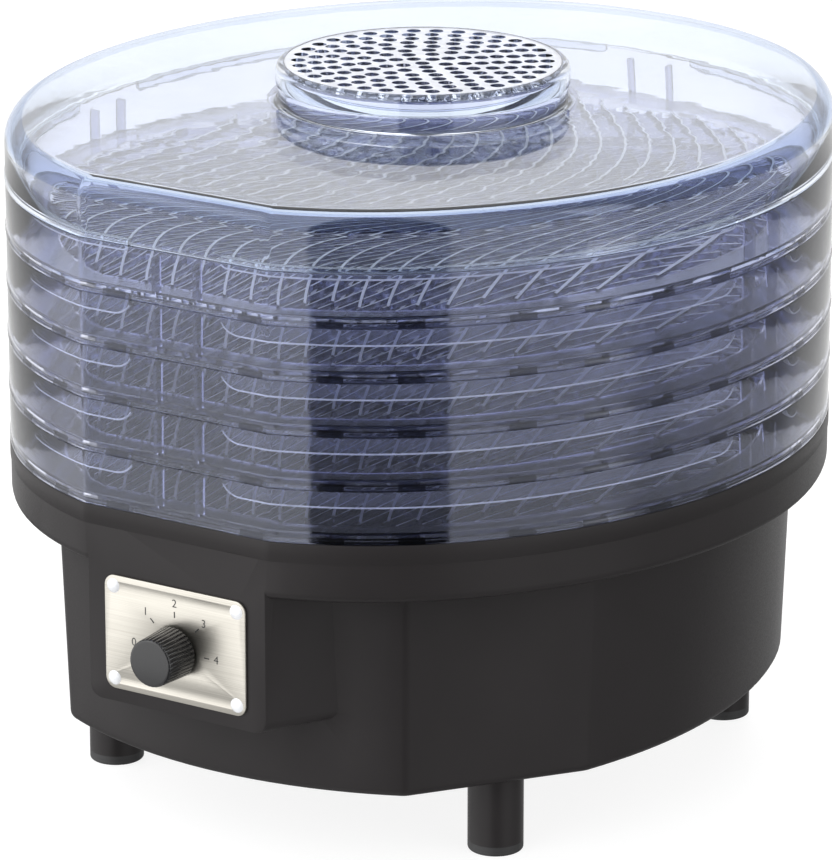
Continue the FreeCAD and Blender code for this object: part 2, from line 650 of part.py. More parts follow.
def make_switch_shaft(doc):
    start = -value("shell + shaft_well") + value("running_gap")
    end = value("plate_thick + knob_gap + knob_length - knob_crown")
    dial = VECTOR(0, value("dial_height"), start)
    shaft = Part.makeCylinder(value("shaft_radius"), end - start, dial, UP)
    return panel_group(doc, "switch_shaft", [shaft])


def make_knob(doc):
    """Fluted, slightly tapered knob with a recessed back over the nut and a pointer at nine o'clock."""
    base = VECTOR(0, value("dial_height"), value("plate_thick + knob_gap"))
    length, radius = value("knob_length"), value("knob_radius")
    front_radius = radius - value("knob_taper")
    knob = Part.makeCone(radius, front_radius, length, base, UP)
    knob = knob.makeFillet(value("knob_edge"), [e for e in knob.Edges if level_edge(base.z + length)(e)])
    lean = math.degrees(math.atan2(radius - front_radius, length))
    flutes = []
    for index in range(KNOB_FLUTES):
        groove = Part.makeCylinder(value("flute_radius"), 2 * length, base - UP * length / 2, UP)
        groove.rotate(base, VECTOR(0, 1, 0), -lean)
        groove.translate(VECTOR(radius + value("flute_offset"), 0, 0))
        groove.rotate(base, UP, index * 360 / KNOB_FLUTES)
        flutes.append(groove)
    reach, width = value("pointer_reach"), value("pointer_width")
    pointer = Part.makeBox(reach, width, value("pointer_height"), base + VECTOR(-reach, -width / 2, 0))
    pointer = pointer.makeFillet(value("pointer_edge"), pointer.Edges)
    recess = Part.makeCylinder(value("knob_recess_radius"), value("knob_recess_depth"), base, UP)
    bore_hole = Part.makeCylinder(value("shaft_radius"), value("knob_length - knob_crown"), base, UP)
    knob = knob.cut(flutes).fuse(pointer).cut([recess, bore_hole])
    return panel_group(doc, "control_knob", [knob.removeSplitter()])


# ---------------------------------------------------------------- fan and heater
def make_air_duct(doc):
    """Round duct from the bottom plate to the deck, around the fan and the heater."""
    base = "bottom_plate_base + bottom_plate_height"
    body = new_body(doc, "air_duct", base)
    wall = new_sketch(body, "duct_wall_shape")
    add_circle(wall, "duct_radius + duct_wall")
    add_circle(wall, "duct_radius")
    pad(body, wall, "deck_top - deck_plate - bottom_plate_base - bottom_plate_height")
    return body


def make_motor_bracket(doc):
    """Flat bar on two posts that carries the motor over the intake."""
    base = "bottom_plate_base + bottom_plate_height"
    body = new_body(doc, "motor_bracket", base)
    bar = new_sketch(body, "bracket_bar", "bracket_level - bottom_plate_base - bottom_plate_height")
    add_rectangle(bar, "0 - bracket_reach", "bracket_reach",
                  "0 - bracket_half_width", "bracket_half_width")
    pad(body, bar, "bracket_height")
    for name, left, right in (("left", "0 - bracket_reach", "0 - bracket_reach + bracket_post"),
                              ("right", "bracket_reach - bracket_post", "bracket_reach")):
        post = new_sketch(body, "bracket_post_" + name)
        add_rectangle(post, left, right, "0 - bracket_half_width", "bracket_half_width")
        pad(body, post, "bracket_level - bottom_plate_base - bottom_plate_height")
    for x in ("motor_screw_reach", "0 - motor_screw_reach"):
        bore(body, "bracket_hole", "bracket_level - bottom_plate_base - bottom_plate_height",
             "bracket_height", "screw_radius", x)
    return body


def make_motor(doc):
    body = new_body(doc, "fan_motor", "bracket_level + bracket_height")
    can = disc(body, "motor_can", "0", "motor_height", "motor_radius")
    round_edges(body, can, "motor_can_edge", "motor_edge", level_edge(value("motor_height")))
    disc(body, "motor_nose", "motor_height", "motor_nose_height", "motor_nose_radius")
    bore(body, "motor_bearing", "motor_bearing_base", "motor_height", "motor_bore")
    for x in ("motor_screw_reach", "0 - motor_screw_reach"):
        bore(body, "motor_screw_hole", "0", "motor_screw_depth", "screw_radius", x)
    return body


def make_motor_screws(doc):
    """Two screws up through the bracket into the motor."""
    screws = []
    radius, height, slot = value("small_head_radius"), value("small_head_height"), value("small_slot")
    for x in (-value("motor_screw_reach"), value("motor_screw_reach")):
        head_base = VECTOR(x, 0, value("bracket_level") - height)
        head = Part.makeCylinder(radius, height, head_base, UP)
        shank = Part.makeCylinder(value("screw_radius"), value("motor_screw_length"),
                                  head_base + UP * height, UP)
        cut = Part.makeBox(2 * radius, slot, slot, head_base - VECTOR(radius, slot / 2, 0))
        screws.append(head.fuse(shank).cut(cut))
    return group(doc, "motor_screws", screws)


def make_motor_shaft(doc):
    start = value("bracket_level + bracket_height + motor_bearing_base + shaft_end_gap")
    shaft = Part.makeCylinder(value("motor_shaft_radius"), value("motor_shaft_top") - start,
                              VECTOR(0, 0, start), UP)
    return group(doc, "motor_shaft", [shaft])


def make_impeller(doc):
    """Axial impeller: a hub with flat blades set at one pitch."""
    level, height = value("fan_level"), value("fan_hub_height")
    radius, span = value("fan_hub_radius"), value("fan_radius")
    hub = Part.makeCylinder(radius, height, VECTOR(0, 0, level), UP)
    hub = hub.makeFillet(value("fan_hub_edge"), [e for e in hub.Edges if level_edge(level + height)(e)])
    margin = value("blade_margin")
    reach = Part.makeCylinder(span, height - 2 * margin, VECTOR(0, 0, level + margin), UP)
    blades = []
    for index in range(FAN_BLADES):
        blade = Part.makeBox(span, 2 * value("blade_half_chord"), value("blade_thick"),
                             VECTOR(value("blade_root"), -value("blade_half_chord"), level + height / 2))
        blade.rotate(VECTOR(0, 0, level + height / 2), VECTOR(1, 0, 0), value("blade_pitch"))
        blade.rotate(VECTOR(0, 0, 0), UP, index * 360 / FAN_BLADES)
        blades.append(blade.common(reach))
    hole = Part.makeCylinder(value("motor_shaft_radius"), height, VECTOR(0, 0, level), UP)
    return group(doc, "fan_impeller", [hub.fuse(blades).cut(hole).removeSplitter()])


def make_heater(doc):
    """Crossed mica plates that carry two rings of coiled resistance wire, each drawn as its outer tube."""
    level, height, thick = value("heater_level"), value("heater_height"), value("mica_thick")
    reach = value("duct_radius + mica_seat")
    plate = Part.makeBox(2 * reach, thick, height, VECTOR(-reach, -thick / 2, level))
    cross = plate.copy()
    cross.rotate(VECTOR(0, 0, 0), UP, 90)
    middle = VECTOR(0, 0, level + height / 2)
    rings = [Part.makeTorus(value(name), value("coil_tube"), middle, UP)
             for name in ("coil_inner_ring", "coil_outer_ring")]
    frame = group(doc, "heater_frame", [plate.fuse(cross).cut(rings).removeSplitter()])
    return [frame, group(doc, "heater_coil", rings)]


def make_thermal_cutout(doc):
    """Bimetal cut-out under the deck, beside the grille."""
    top, height, thick = value("deck_top - deck_plate"), value("cutout_height"), value("cutout_thick")
    length, width, pitch = value("cutout_length"), value("cutout_width"), value("cutout_tab_pitch")
    can = Part.makeCylinder(value("cutout_radius"), height, VECTOR(0, 0, top - height), UP)
    ears = Part.makeBox(length, width, thick, VECTOR(-length / 2, -width / 2, top - thick))
    tabs = [Part.makeBox(thick, width, height,
                         VECTOR(side * pitch / 2 - thick / 2, -width / 2, top - 2 * height))
            for side in (-1, 1)]
    return group(doc, "thermal_cutout", [can.fuse([ears] + tabs)])


def make_cord_gland(doc):
    """Flanged grommet in the back of the skirt where the supply lead enters."""
    height = value("gland_height - skirt_bottom")
    wall = value("skirt_back_centre + skirt_back_radius")
    wall += height * math.tan(math.radians(value("skirt_draft")))
    centre = VECTOR(0, wall + value("gland_proud"), value("gland_height"))
    inward = VECTOR(0, -1, 0)
    body = Part.makeCylinder(value("gland_radius"), value("gland_length"), centre, inward)
    flange = Part.makeCone(value("gland_flange_front"), value("gland_flange"), value("gland_flange_height"),
                           centre, inward)
    hole = Part.makeCylinder(value("gland_bore"), value("gland_length"), centre, inward)
    return group(doc, "cord_gland", [body.fuse(flange).cut(hole)])


# ---------------------------------------------------------------- trays and lid
def make_tray_frame(doc):
    """Wall, lip, ledge, nesting skirt and ribs of one tray, without its open floor."""
    body = new_body(doc, "tray_frame")
    ring(body, "tray_wall_shape", "0", "tray_pitch", "0", "tray_wall")
    ring(body, "tray_lip", "0", "lip_height", "0 - lip_proud", "tray_wall")
    ring(body, "tray_ledge", "ledge_base", "ledge_height", "ledge_root", "tray_wall + ledge_width")
    ring(body, "tray_nest", "0 - nest_depth", "nest_depth + ledge_base + nest_overlap",
         "tray_wall + nest_gap", "tray_wall + nest_gap + nest_wall")
    add_nest_breaks(body, "nest_depth")
    add_tray_ribs(body)
    return body


def add_nest_breaks(body, depth):
    """Gaps in the nesting skirt that let it pass the ribs of the piece below."""
    gaps = new_sketch(body, body.Name + "_breaks", "0 - " + depth)
    add_rectangle(gaps, "0 - nest_break", "nest_break", "0 - clear_outside", "0 - clear_inside")
    add_rectangle(gaps, "0 - nest_break", "nest_break", "clear_inside", "clear_outside")
    pocket(body, gaps, depth)
    side_gaps = new_sketch(body, body.Name + "_side_breaks", "0 - " + depth)
    add_rectangle(side_gaps, "clear_inside", "clear_outside", "0 - nest_break", "nest_break")
    add_rectangle(side_gaps, "0 - clear_outside", "0 - clear_inside", "0 - nest_break", "nest_break")
    pocket(body, side_gaps, depth)


def add_tray_ribs(body):
    """A pair of upright ribs inside the wall at the front, the back and both sides."""
    ribs = new_sketch(body, "tray_ribs", "ledge_base")
    half = "rib_half_width"
    rear = "rear_reach - lip_proud - tray_wall"
    for low, high in (("0 - rib_half_pitch - " + half, "0 - rib_half_pitch + " + half),
                      ("rib_half_pitch - " + half, "rib_half_pitch + " + half)):
        add_rectangle(ribs, low, high, "0 - front_flat + tray_wall - rib_root",
                      "0 - front_flat + tray_wall + rib_depth")
        add_rectangle(ribs, low, high, rear + " - rib_depth", rear + " + rib_root")
        add_rectangle(ribs, "half_width - tray_wall - rib_depth", "half_width - tray_wall + rib_root",
                      low, high)
        add_rectangle(ribs, "0 - half_width + tray_wall - rib_root",
                      "0 - half_width + tray_wall + rib_depth", low, high)
    pad(body, ribs, "rib_height")


def tray_floor():
    """Open floor of parallel slats and cross bars, trimmed to the ledge."""
    base, height = value("ledge_base"), value("ledge_height")
    inset = value("tray_wall + ledge_width - ledge_root")
    reach = value("rear_reach")
    bars = []
    for x in evenly(value("slat_pitch"), reach):
        bars.append(Part.makeBox(value("slat_width"), 2 * reach, height,
                                 VECTOR(x - value("slat_width") / 2, -reach, base)))
    for y in evenly(value("cross_pitch"), reach):
        bars.append(Part.makeBox(2 * reach, value("cross_width"), height,
                                 VECTOR(-reach, y - value("cross_width") / 2, base)))
    return bars[0].fuse(bars[1:]).common(oval_solid(inset, base, height)).removeSplitter()


def evenly(pitch, reach):
    """Places one pitch apart on both sides of zero, as far as the reach."""
    count = int(reach / pitch)
    return [index * pitch for index in range(-count, count + 1)]


def oval_solid(inset, base, height):
    """The oval outline as a plain solid, for trimming."""
    side, end = value("side_radius") - inset, value("end_radius") - inset
    flat = value("front_flat") - inset
    across, along = value("side_centre"), value("end_centre")
    turn = math.atan2(along, across)
    corner = math.acos((flat - along) / end)
    half = end * math.sin(corner)
    edges = [arc(centre, radius, start, stop).toShape() for centre, radius, start, stop in (
        ((-across, 0), side, -turn, turn), ((0, along), end, turn, math.pi - turn),
        ((across, 0), side, math.pi - turn, math.pi + turn),
        ((0, -along), end, math.pi + turn, 1.5 * math.pi - corner),
        ((0, -along), end, 1.5 * math.pi + corner, 2 * math.pi - turn))]
    edges.append(Part.LineSegment(VECTOR(-half, -flat, 0), VECTOR(half, -flat, 0)).toShape())
    solid = Part.Face(Part.Wire(Part.__sortEdges__(edges))).extrude(UP * height)
    solid.translate(UP * base)
    return solid


def make_trays(doc):
    """Five identical trays, each one pitch above the last."""
    frame = make_tray_frame(doc)
    doc.recompute()
    shape = frame.Tip.Shape.fuse(tray_floor()).removeSplitter()
    trays = []
    for index in range(TRAYS):
        level = "base_top" + " + tray_pitch" * index
        trays.append(group(doc, "tray_%d" % (index + 1), [shape.copy()], level))
    return trays


def make_lid(doc):
    """Domed-edge lid with a raised round vent, pierced by rings of holes."""
    body = new_body(doc, "vented_lid", "lid_base")
    outline = new_sketch(body, "lid_outline")
    add_oval(outline)
    block = pad(body, outline, "lid_height")
    round_edges(body, block, "lid_shoulder_edge", "lid_shoulder", level_edge(value("lid_height")))
    hollow = body.newObject("PartDesign::Boolean", "lid_hollow")
    hollow.Type = "Cut"
    hollow.addObjects([make_lid_core(doc)])
    body.Tip = hollow
    ring(body, "lid_lip", "0", "lip_height", "0 - lip_proud", "lid_wall")
    ring(body, "lid_nest", "0 - lid_nest_depth", "lid_nest_depth + lid_nest_depth",
         "lid_wall - nest_overlap", "lid_wall + nest_gap + nest_wall")
    trim_lid_nest(body)
    boss = disc(body, "vent_boss", "lid_height - lid_wall", "boss_height + lid_wall", "boss_radius")
    top = value("lid_height + boss_height")
    round_edges(body, boss, "vent_boss_edge", "boss_edge", level_edge(top))
    bore(body, "vent_chamber", "lid_height - lid_wall", "boss_height + lid_wall - boss_plate",
         "boss_radius - lid_wall")
    add_vent_holes(body)
    return body


def make_lid_core(doc):
    """The space inside the lid, with its own rounded shoulder."""
    core = new_body(doc, "lid_core", along_y="0")
    inside = new_sketch(core, "lid_inside")
    add_oval(inside, "lid_wall")
    block = pad(core, inside, "lid_height - lid_wall")
    round_edges(core, block, "lid_inner_shoulder", "lid_shoulder - lid_wall",
                level_edge(value("lid_height - lid_wall")))
    return core


def trim_lid_nest(body):
    """Clears the part of the nesting rim below the lid that would meet the tray wall or its ribs."""
    clear = new_sketch(body, "lid_nest_clear", "0 - lid_nest_depth")
    add_oval(clear, "0 - ledge_width")
    add_oval(clear, "tray_wall + nest_gap")
    pocket(body, clear, "lid_nest_depth")
    add_nest_breaks(body, "lid_nest_depth")


def add_vent_holes(body):
    holes = new_sketch(body, "vent_holes", "lid_height + boss_height - boss_plate")
    radius = value("vent_hole_radius")
    first = None
    for index in range(VENT_RINGS):
        circle = value("vent_outer_ring") - index * value("vent_ring_step")
        count = int(2 * math.pi * circle / value("vent_hole_pitch"))
        for place in range(count):
            angle = 2 * math.pi * (place + 0.5 * (index % 2)) / count
            centre = VECTOR(circle * math.cos(angle), circle * math.sin(angle), 0)
            hole = holes.addGeometry(Part.Circle(centre, UP, radius), False)
            if first is None:
                first = hole
                constrain(holes, "vent_hole_radius", "Radius", hole)
            else:
                holes.addConstraint(Sketcher.Constraint("Equal", first, hole))
    pocket(body, holes, "boss_plate")


# ---------------------------------------------------------------- document
def build(doc):
    """Makes every object and returns the ones that are pieces of the appliance."""
    make_sheet(doc)
    doc.recompute()
    pieces = [make_base_housing(doc), make_air_deck(doc), make_bottom_plate(doc)]
    pieces += make_feet(doc)
    pieces += [make_foot_pads(doc), make_foot_screws(doc)]
    pieces += [make_control_plate(doc), make_rivets(doc), make_switch(doc), make_switch_nut(doc),
               make_switch_shaft(doc), make_knob(doc)]
    pieces += [make_air_duct(doc), make_motor_bracket(doc), make_motor(doc), make_motor_screws(doc),
               make_motor_shaft(doc), make_impeller(doc)]
    pieces += make_heater(doc)
    pieces += [make_thermal_cutout(doc), make_cord_gland(doc)]
    pieces += make_trays(doc)
    pieces.append(make_lid(doc))
    doc.recompute()
    return pieces


def check(doc, pieces):
    for item in doc.Objects:
        if "Invalid" in item.State or "Error" in item.State:
            raise RuntimeError("%s failed: %s" % (item.Label, item.State))
    for piece in pieces:
        if piece.Shape.isNull() or not piece.Shape.isValid() or not piece.Shape.Solids:
            raise RuntimeError(piece.Label + " has no sound solid")


def main():
    add_derived_sizes()
    doc = FreeCAD.newDocument("dehydrator")
    pieces = build(doc)
    check(doc, pieces)
    os.makedirs("parts", exist_ok=True)
    for piece in pieces:
        piece.Shape.exportStep(os.path.join("parts", piece.Label + ".step"))
        box = piece.Shape.BoundBox
        print("%-20s %2d solids %9.0f mm3  x %.1f %.1f  y %.1f %.1f  z %.1f %.1f" % (
            piece.Label, len(piece.Shape.Solids), piece.Shape.Volume,
            box.XMin, box.XMax, box.YMin, box.YMax, box.ZMin, box.ZMax))


main()
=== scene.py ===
import json
import math

import bmesh
import bpy
from mathutils import Matrix, Vector


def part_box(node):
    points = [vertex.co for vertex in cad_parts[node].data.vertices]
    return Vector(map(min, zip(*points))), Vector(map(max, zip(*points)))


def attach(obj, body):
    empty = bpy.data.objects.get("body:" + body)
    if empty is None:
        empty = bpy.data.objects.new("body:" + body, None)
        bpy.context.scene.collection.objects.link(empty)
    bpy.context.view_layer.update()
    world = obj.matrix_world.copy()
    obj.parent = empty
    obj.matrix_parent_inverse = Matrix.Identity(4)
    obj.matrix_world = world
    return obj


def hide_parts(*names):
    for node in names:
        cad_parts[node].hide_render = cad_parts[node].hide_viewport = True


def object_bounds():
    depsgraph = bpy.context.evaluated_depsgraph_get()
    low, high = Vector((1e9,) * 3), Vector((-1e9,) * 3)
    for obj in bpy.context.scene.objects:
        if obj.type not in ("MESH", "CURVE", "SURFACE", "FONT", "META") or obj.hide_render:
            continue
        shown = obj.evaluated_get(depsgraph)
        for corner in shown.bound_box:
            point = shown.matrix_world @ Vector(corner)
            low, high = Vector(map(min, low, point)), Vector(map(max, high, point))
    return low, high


# Looks of the stackable food dehydrator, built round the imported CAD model.
# Metres, +Z up, control panel facing -Y. Pieces are placed from the boxes of the CAD nodes.

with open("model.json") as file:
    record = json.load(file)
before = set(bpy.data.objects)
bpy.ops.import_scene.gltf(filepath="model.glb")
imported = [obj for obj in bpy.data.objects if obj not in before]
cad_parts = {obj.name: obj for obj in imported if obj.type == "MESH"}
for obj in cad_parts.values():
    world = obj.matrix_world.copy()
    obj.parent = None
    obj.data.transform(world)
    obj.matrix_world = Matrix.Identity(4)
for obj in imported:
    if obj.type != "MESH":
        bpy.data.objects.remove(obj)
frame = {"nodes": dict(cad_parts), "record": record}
NODES = frame["nodes"]
CAD_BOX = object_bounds()
MM = 0.001

# ---------------------------------------------------------------- sizes
# Millimetres and degrees, or metres where a name says so; shares and counts have no unit.
SIDE_RADIUS = 197.15
END_RADIUS = 144.5
HALF_WIDTH = 158.8
FRONT_FLAT = 174.2
SIDE_CENTRE = SIDE_RADIUS - HALF_WIDTH
END_CENTRE = math.sqrt((SIDE_RADIUS - END_RADIUS) ** 2 - SIDE_CENTRE ** 2)
REAR_REACH = END_CENTRE + END_RADIUS

# how far the lips stand out in the CAD model, and here, where they stay inside its box
LIP_PROUD = 0.4
LIP_SHOWN = 0.35
TRAYS = 5
TRAY_WALL = 2.2
LEDGE_INSET = 13.2
NEST_OUTER = 2.6
NEST_INNER = 4.4
NEST_DEPTH = 7.7
NEST_BREAK = 20.0
NEST_CORNER = 9.0
RIB_PITCH = 9.4
RIB_DEPTH = 4.0
RIB_TOP = 17.2
PAD_PITCH = 31.0
PAD_LENGTH = 10.5
PAD_START = 14.0
PAD_TOP = 2.9
WALL_FINENESS = 1.5

LID_HEIGHT = 23.0
LID_WALL = 2.5
LID_NEST_DEPTH = 3.4
LID_NEST_CORNER = 4.0
SHOULDER = 8.5
BOSS_RADIUS = 58.7
BOSS_TOP = 37.8
BOSS_EDGE = 3.5
VENT_PLATE = 3.0
VENT_RADIUS = 55.2
VENT_HOLE = 2.9
VENT_RINGS = 8
VENT_OUTER_RING = 49.5
VENT_RING_STEP = 6.45
VENT_HOLE_PITCH = 9.1
VENT_RIM = 0.15
VENT_SUNK = 0.15
VENT_EDGE = 1.0
HOLE_SIDES = 24
VENT_SIDES = 96
FLAT_ENOUGH = 0.3
WELD_METRES = 1e-7

CAD_WELD_METRES = 2e-6
SHARP_ANGLE = 32.0
SOFT_ANGLE = 50.0
HOUSING_BEVEL = 0.6
BEAD_HEIGHT = 8.0
BEAD_PROUD = 0.3
PLATE_CORNER = 4.5
RIVET_X = 28.6
RIVET_Z = 18.8
RIVET_HOLE = 1.65
BUSH_HOLE = 4.9
DIAL_POSITIONS = 5
DIAL_START = 180.0
DIAL_STEP = 45.0
TICK_START = 13.6
TICK_END = 16.0
TICK_HALF_WIDTH = 0.25
DIGIT_REACH = 19.2
DIGIT_HEIGHT = 4.6
PRINT_PROUD = 0.06
PRINT_DEPTH = 0.2

# ---------------------------------------------------------------- ribs and lattice of the trays
RIB_HALF_WIDTH = 0.8
LEDGE_TOP = 3.2
BARS_INSET = 0.6
MAIN_BARS = {"pitch": 12.0, "width": 2.0, "low": 1.25, "high": 3.9}
FINE_SLATS = {"pitch": 5.8, "width": 1.0, "low": 1.3, "high": 2.9}
BAR_TOP_SHARE = 0.32
LEAN_MIDDLE = 20.0
MAIN_BAR_CURVE = 1.19e-5
SLAT_SLANT = 0.5
SLAT_CURVE = 0.00125
TIE_PITCH = 42.0
TIE_OFFSET = 10.0
TIE_SLANT = 0.12
TIE_STEP = 5.0
TIE_SECTION = ((-0.7, 1.4), (0.7, 1.4), (0.45, 2.6), (-0.45, 2.6))

# ---------------------------------------------------------------- camera and light
# Angles in degrees, lens and sensor in mm, lamps in watts, lengths in metres.
CAMERA_AZIMUTH = 32.76
CAMERA_ELEVATION = 17.55
CAMERA_DISTANCE = 2.2984
CAMERA_LENS = 237.8
CAMERA_SENSOR = 36.0
CAMERA_SHIFT = (-0.0081, -0.0287)
FLOOR_SIZE = 6.0
FLOOR_GLOW = 0.87
LAMP_AIM = (0, 0, 0.15)
KEY_LIGHT = 6.0
SIDE_LIGHT = 5.0
# brightness of the walls and the rest of the room, of the dim corner, of what lies below and above (as
# shares), of the dark gap between the walls (a share), and of the backdrop that the camera sees
LEFT_WALL_LIGHT = 2.7
RIGHT_WALL_LIGHT = 1.65
ROOM_LIGHT = 1.05
CORNER_LIGHT = 0.4
BELOW_LIGHT = 0.4
ABOVE_LIGHT = 1.18
GAP_LIGHT = 0.03
BACKDROP_LIGHT = 1.1
# where those levels change: degrees from the front towards the right, and heights of the direction
GAP_MIDDLE = 35.0
GAP_EDGE = (20.4, 22.4)
WALL_CHANGE = (25.0, 45.0)
WALL_FADE = (95.0, 130.0)
CORNER_START = (92.0, 110.0)
CORNER_END = (150.0, 168.0)
BELOW_HEIGHTS = (-0.40, -0.345)
ABOVE_HEIGHTS = (0.1, 0.25)

# material slots of the clear pieces; every slot after the first is painted light: painted shade (vent-hole
# walls, lip undersides and pad patches, ledge, ribs and bars, lid shoulder) or a painted highlight
# (nesting-skirt edges, tops of the bars and the vent plate)
DEEP_SHADE, LIP_AND_PAD_SHADE, HIGHLIGHT_EDGE, TRAY_SHADE, HIGHLIGHT_TOP, SHOULDER_SHADE = 1, 2, 3, 4, 5, 6
CLEAR_SLOTS = SHOULDER_SHADE + 1
# spans of the lid's section that lie on its rounded shoulder, which take a darker blue tint as painted shade
CURVED_SPANS = range(5, 13)

SKY_TINT = (0.84, 0.88, 1.0)
BRUSH_SCALE = (3.0, 3.0, 900.0)
CLEAR_INDEX = 1.49

TRAY_LOW, TRAY_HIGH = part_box("tray_1")
NEXT_LOW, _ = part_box("tray_2")
PITCH = (NEXT_LOW.z - TRAY_LOW.z) / MM
SEAM = TRAY_LOW.z + NEST_DEPTH * MM
AXIS_Y = TRAY_HIGH.y - (REAR_REACH + LIP_PROUD) * MM


# ---------------------------------------------------------------- shader helpers
class Shader:
    """A node material with a Principled surface, and short calls for the nodes it is made of."""

    def __init__(self, name, colour, roughness, **sockets):
        self.material = bpy.data.materials.new(name)
        self.material.use_nodes = True
        self.tree = self.material.node_tree
        self.surface = self.tree.nodes["Principled BSDF"]
        self.place = self.node("ShaderNodeTexCoord").outputs["Object"]
        self.set("Base Color", (*colour, 1.0))
        self.set("Roughness", roughness)
        for socket, number in sockets.items():
            self.set(socket.replace("_", " "), number)

    def node(self, kind, **values):
        made = self.tree.nodes.new(kind)
        for key, number in values.items():
            if key in made.inputs:
                made.inputs[key].default_value = number
            else:
                setattr(made, key, number)
        return made

    def set(self, socket, number):
        self.surface.inputs[socket].default_value = number

    def link(self, output, target):
        socket = self.surface.inputs[target] if isinstance(target, str) else target
        self.tree.links.new(output, socket)

    def stretched(self, scale):
        mapping = self.node("ShaderNodeMapping")
        mapping.inputs["Scale"].default_value = scale
        self.link(self.place, mapping.inputs["Vector"])
        return mapping.outputs["Vector"]

    def noise(self, scale, detail=2.0, vector=None):
        made = self.node("ShaderNodeTexNoise", Scale=scale, Detail=detail)
        self.link(vector or self.place, made.inputs["Vector"])
        return made.outputs["Fac"]

    def cells(self, scale):
        made = self.node("ShaderNodeTexVoronoi", Scale=scale)
        self.link(self.place, made.inputs["Vector"])
        return made.outputs["Color"]

    def spread(self, output, low, high):
        """Maps the middle of a pattern's range onto low to high."""
        made = self.node("ShaderNodeMapRange")
        for socket, number in (("From Min", 0.3), ("From Max", 0.7), ("To Min", low), ("To Max", high)):
            made.inputs[socket].default_value = number
        self.link(output, made.inputs["Value"])
        return made.outputs["Result"]

    def blend_colours(self, output, first, second):
        made = self.node("ShaderNodeMix", data_type="RGBA")
        low, high = (socket for socket in made.inputs if socket.type == "RGBA")
        low.default_value, high.default_value = (*first, 1.0), (*second, 1.0)
        self.link(self.spread(output, 0.0, 1.0), made.inputs["Factor"])
        return next(socket for socket in made.outputs if socket.type == "RGBA")

    def bump(self, output, height):
        made = self.node("ShaderNodeBump", Strength=1.0, Distance=height)
        self.link(output, made.inputs["Height"])
        return made.outputs["Normal"]


def moulded(name, dark, light, roughness, grain=1500.0, depth=0.00002, coat=0.0, shine=0.5):
    """Textured moulded plastic: fine spark-eroded grain over slow shifts of tone and gloss."""
    s = Shader(name, light, roughness)
    s.set("Coat Weight", coat)
    s.set("Specular IOR Level", shine)
    slow = s.noise(14.0, 3.0)
    fine = s.noise(grain, 2.0)
    s.link(s.blend_colours(slow, dark, light), "Base Color")
    s.link(s.spread(fine, roughness - 0.05, roughness + 0.06), "Roughness")
    s.link(s.bump(fine, depth), "Normal")
    return s.material


def brushed(name, dark, light, roughness):
    """Metal with fine parallel brush lines."""
    s = Shader(name, light, roughness, Metallic=1.0, Anisotropic=0.5)
    lines = s.noise(6.0, 6.0, s.stretched(BRUSH_SCALE))
    cloud = s.noise(30.0, 2.0)
    s.link(s.blend_colours(lines, dark, light), "Base Color")
    s.link(s.spread(cloud, roughness - 0.04, roughness + 0.05), "Roughness")
    s.link(s.bump(lines, 0.00003), "Normal")
    return s.material


def spangled(name, dark, light, roughness):
    """Galvanised sheet: flat crystals of slightly different tone."""
    s = Shader(name, light, roughness, Metallic=1.0)
    crystal = s.cells(120.0)
    s.link(s.blend_colours(crystal, dark, light), "Base Color")
    s.link(s.spread(s.noise(300.0), roughness - 0.08, roughness + 0.08), "Roughness")
    return s.material


def plated(name, dark, light, roughness):
    """Small plated steel parts: bright, with a faint cloudy tarnish."""
    s = Shader(name, light, roughness, Metallic=1.0)
    s.link(s.blend_colours(s.noise(260.0, 4.0), dark, light), "Base Color")
    s.link(s.spread(s.noise(900.0), roughness - 0.06, roughness + 0.08), "Roughness")
    return s.material


def clear(name, tint, paler, roughness, waviness, shine=0.5):
    """Injection-moulded clear plastic: tinted, glossy, very slightly wavy from the mould."""
    s = Shader(name, tint, roughness, IOR=CLEAR_INDEX)
    s.set("Transmission Weight", 1.0)
    s.set("Specular IOR Level", shine)
    s.set("Specular Tint", (*SKY_TINT, 1.0))
    s.link(s.blend_colours(s.noise(22.0, 2.0), tint, paler), "Base Color")
    flow = s.noise(55.0, 1.0, s.stretched((1.0, 1.0, 0.5)))
    s.link(s.bump(flow, waviness), "Normal")
    return s.material


def milky(name, colour, clearness, roughness=0.3):
    """Pale milky clear plastic for painted highlights: part milky, part clear."""
    s = Shader(name, colour, roughness, IOR=CLEAR_INDEX)
    s.set("Transmission Weight", clearness)
    s.link(s.blend_colours(s.noise(60.0), [0.85 * c for c in colour], colour), "Base Color")
    return s.material


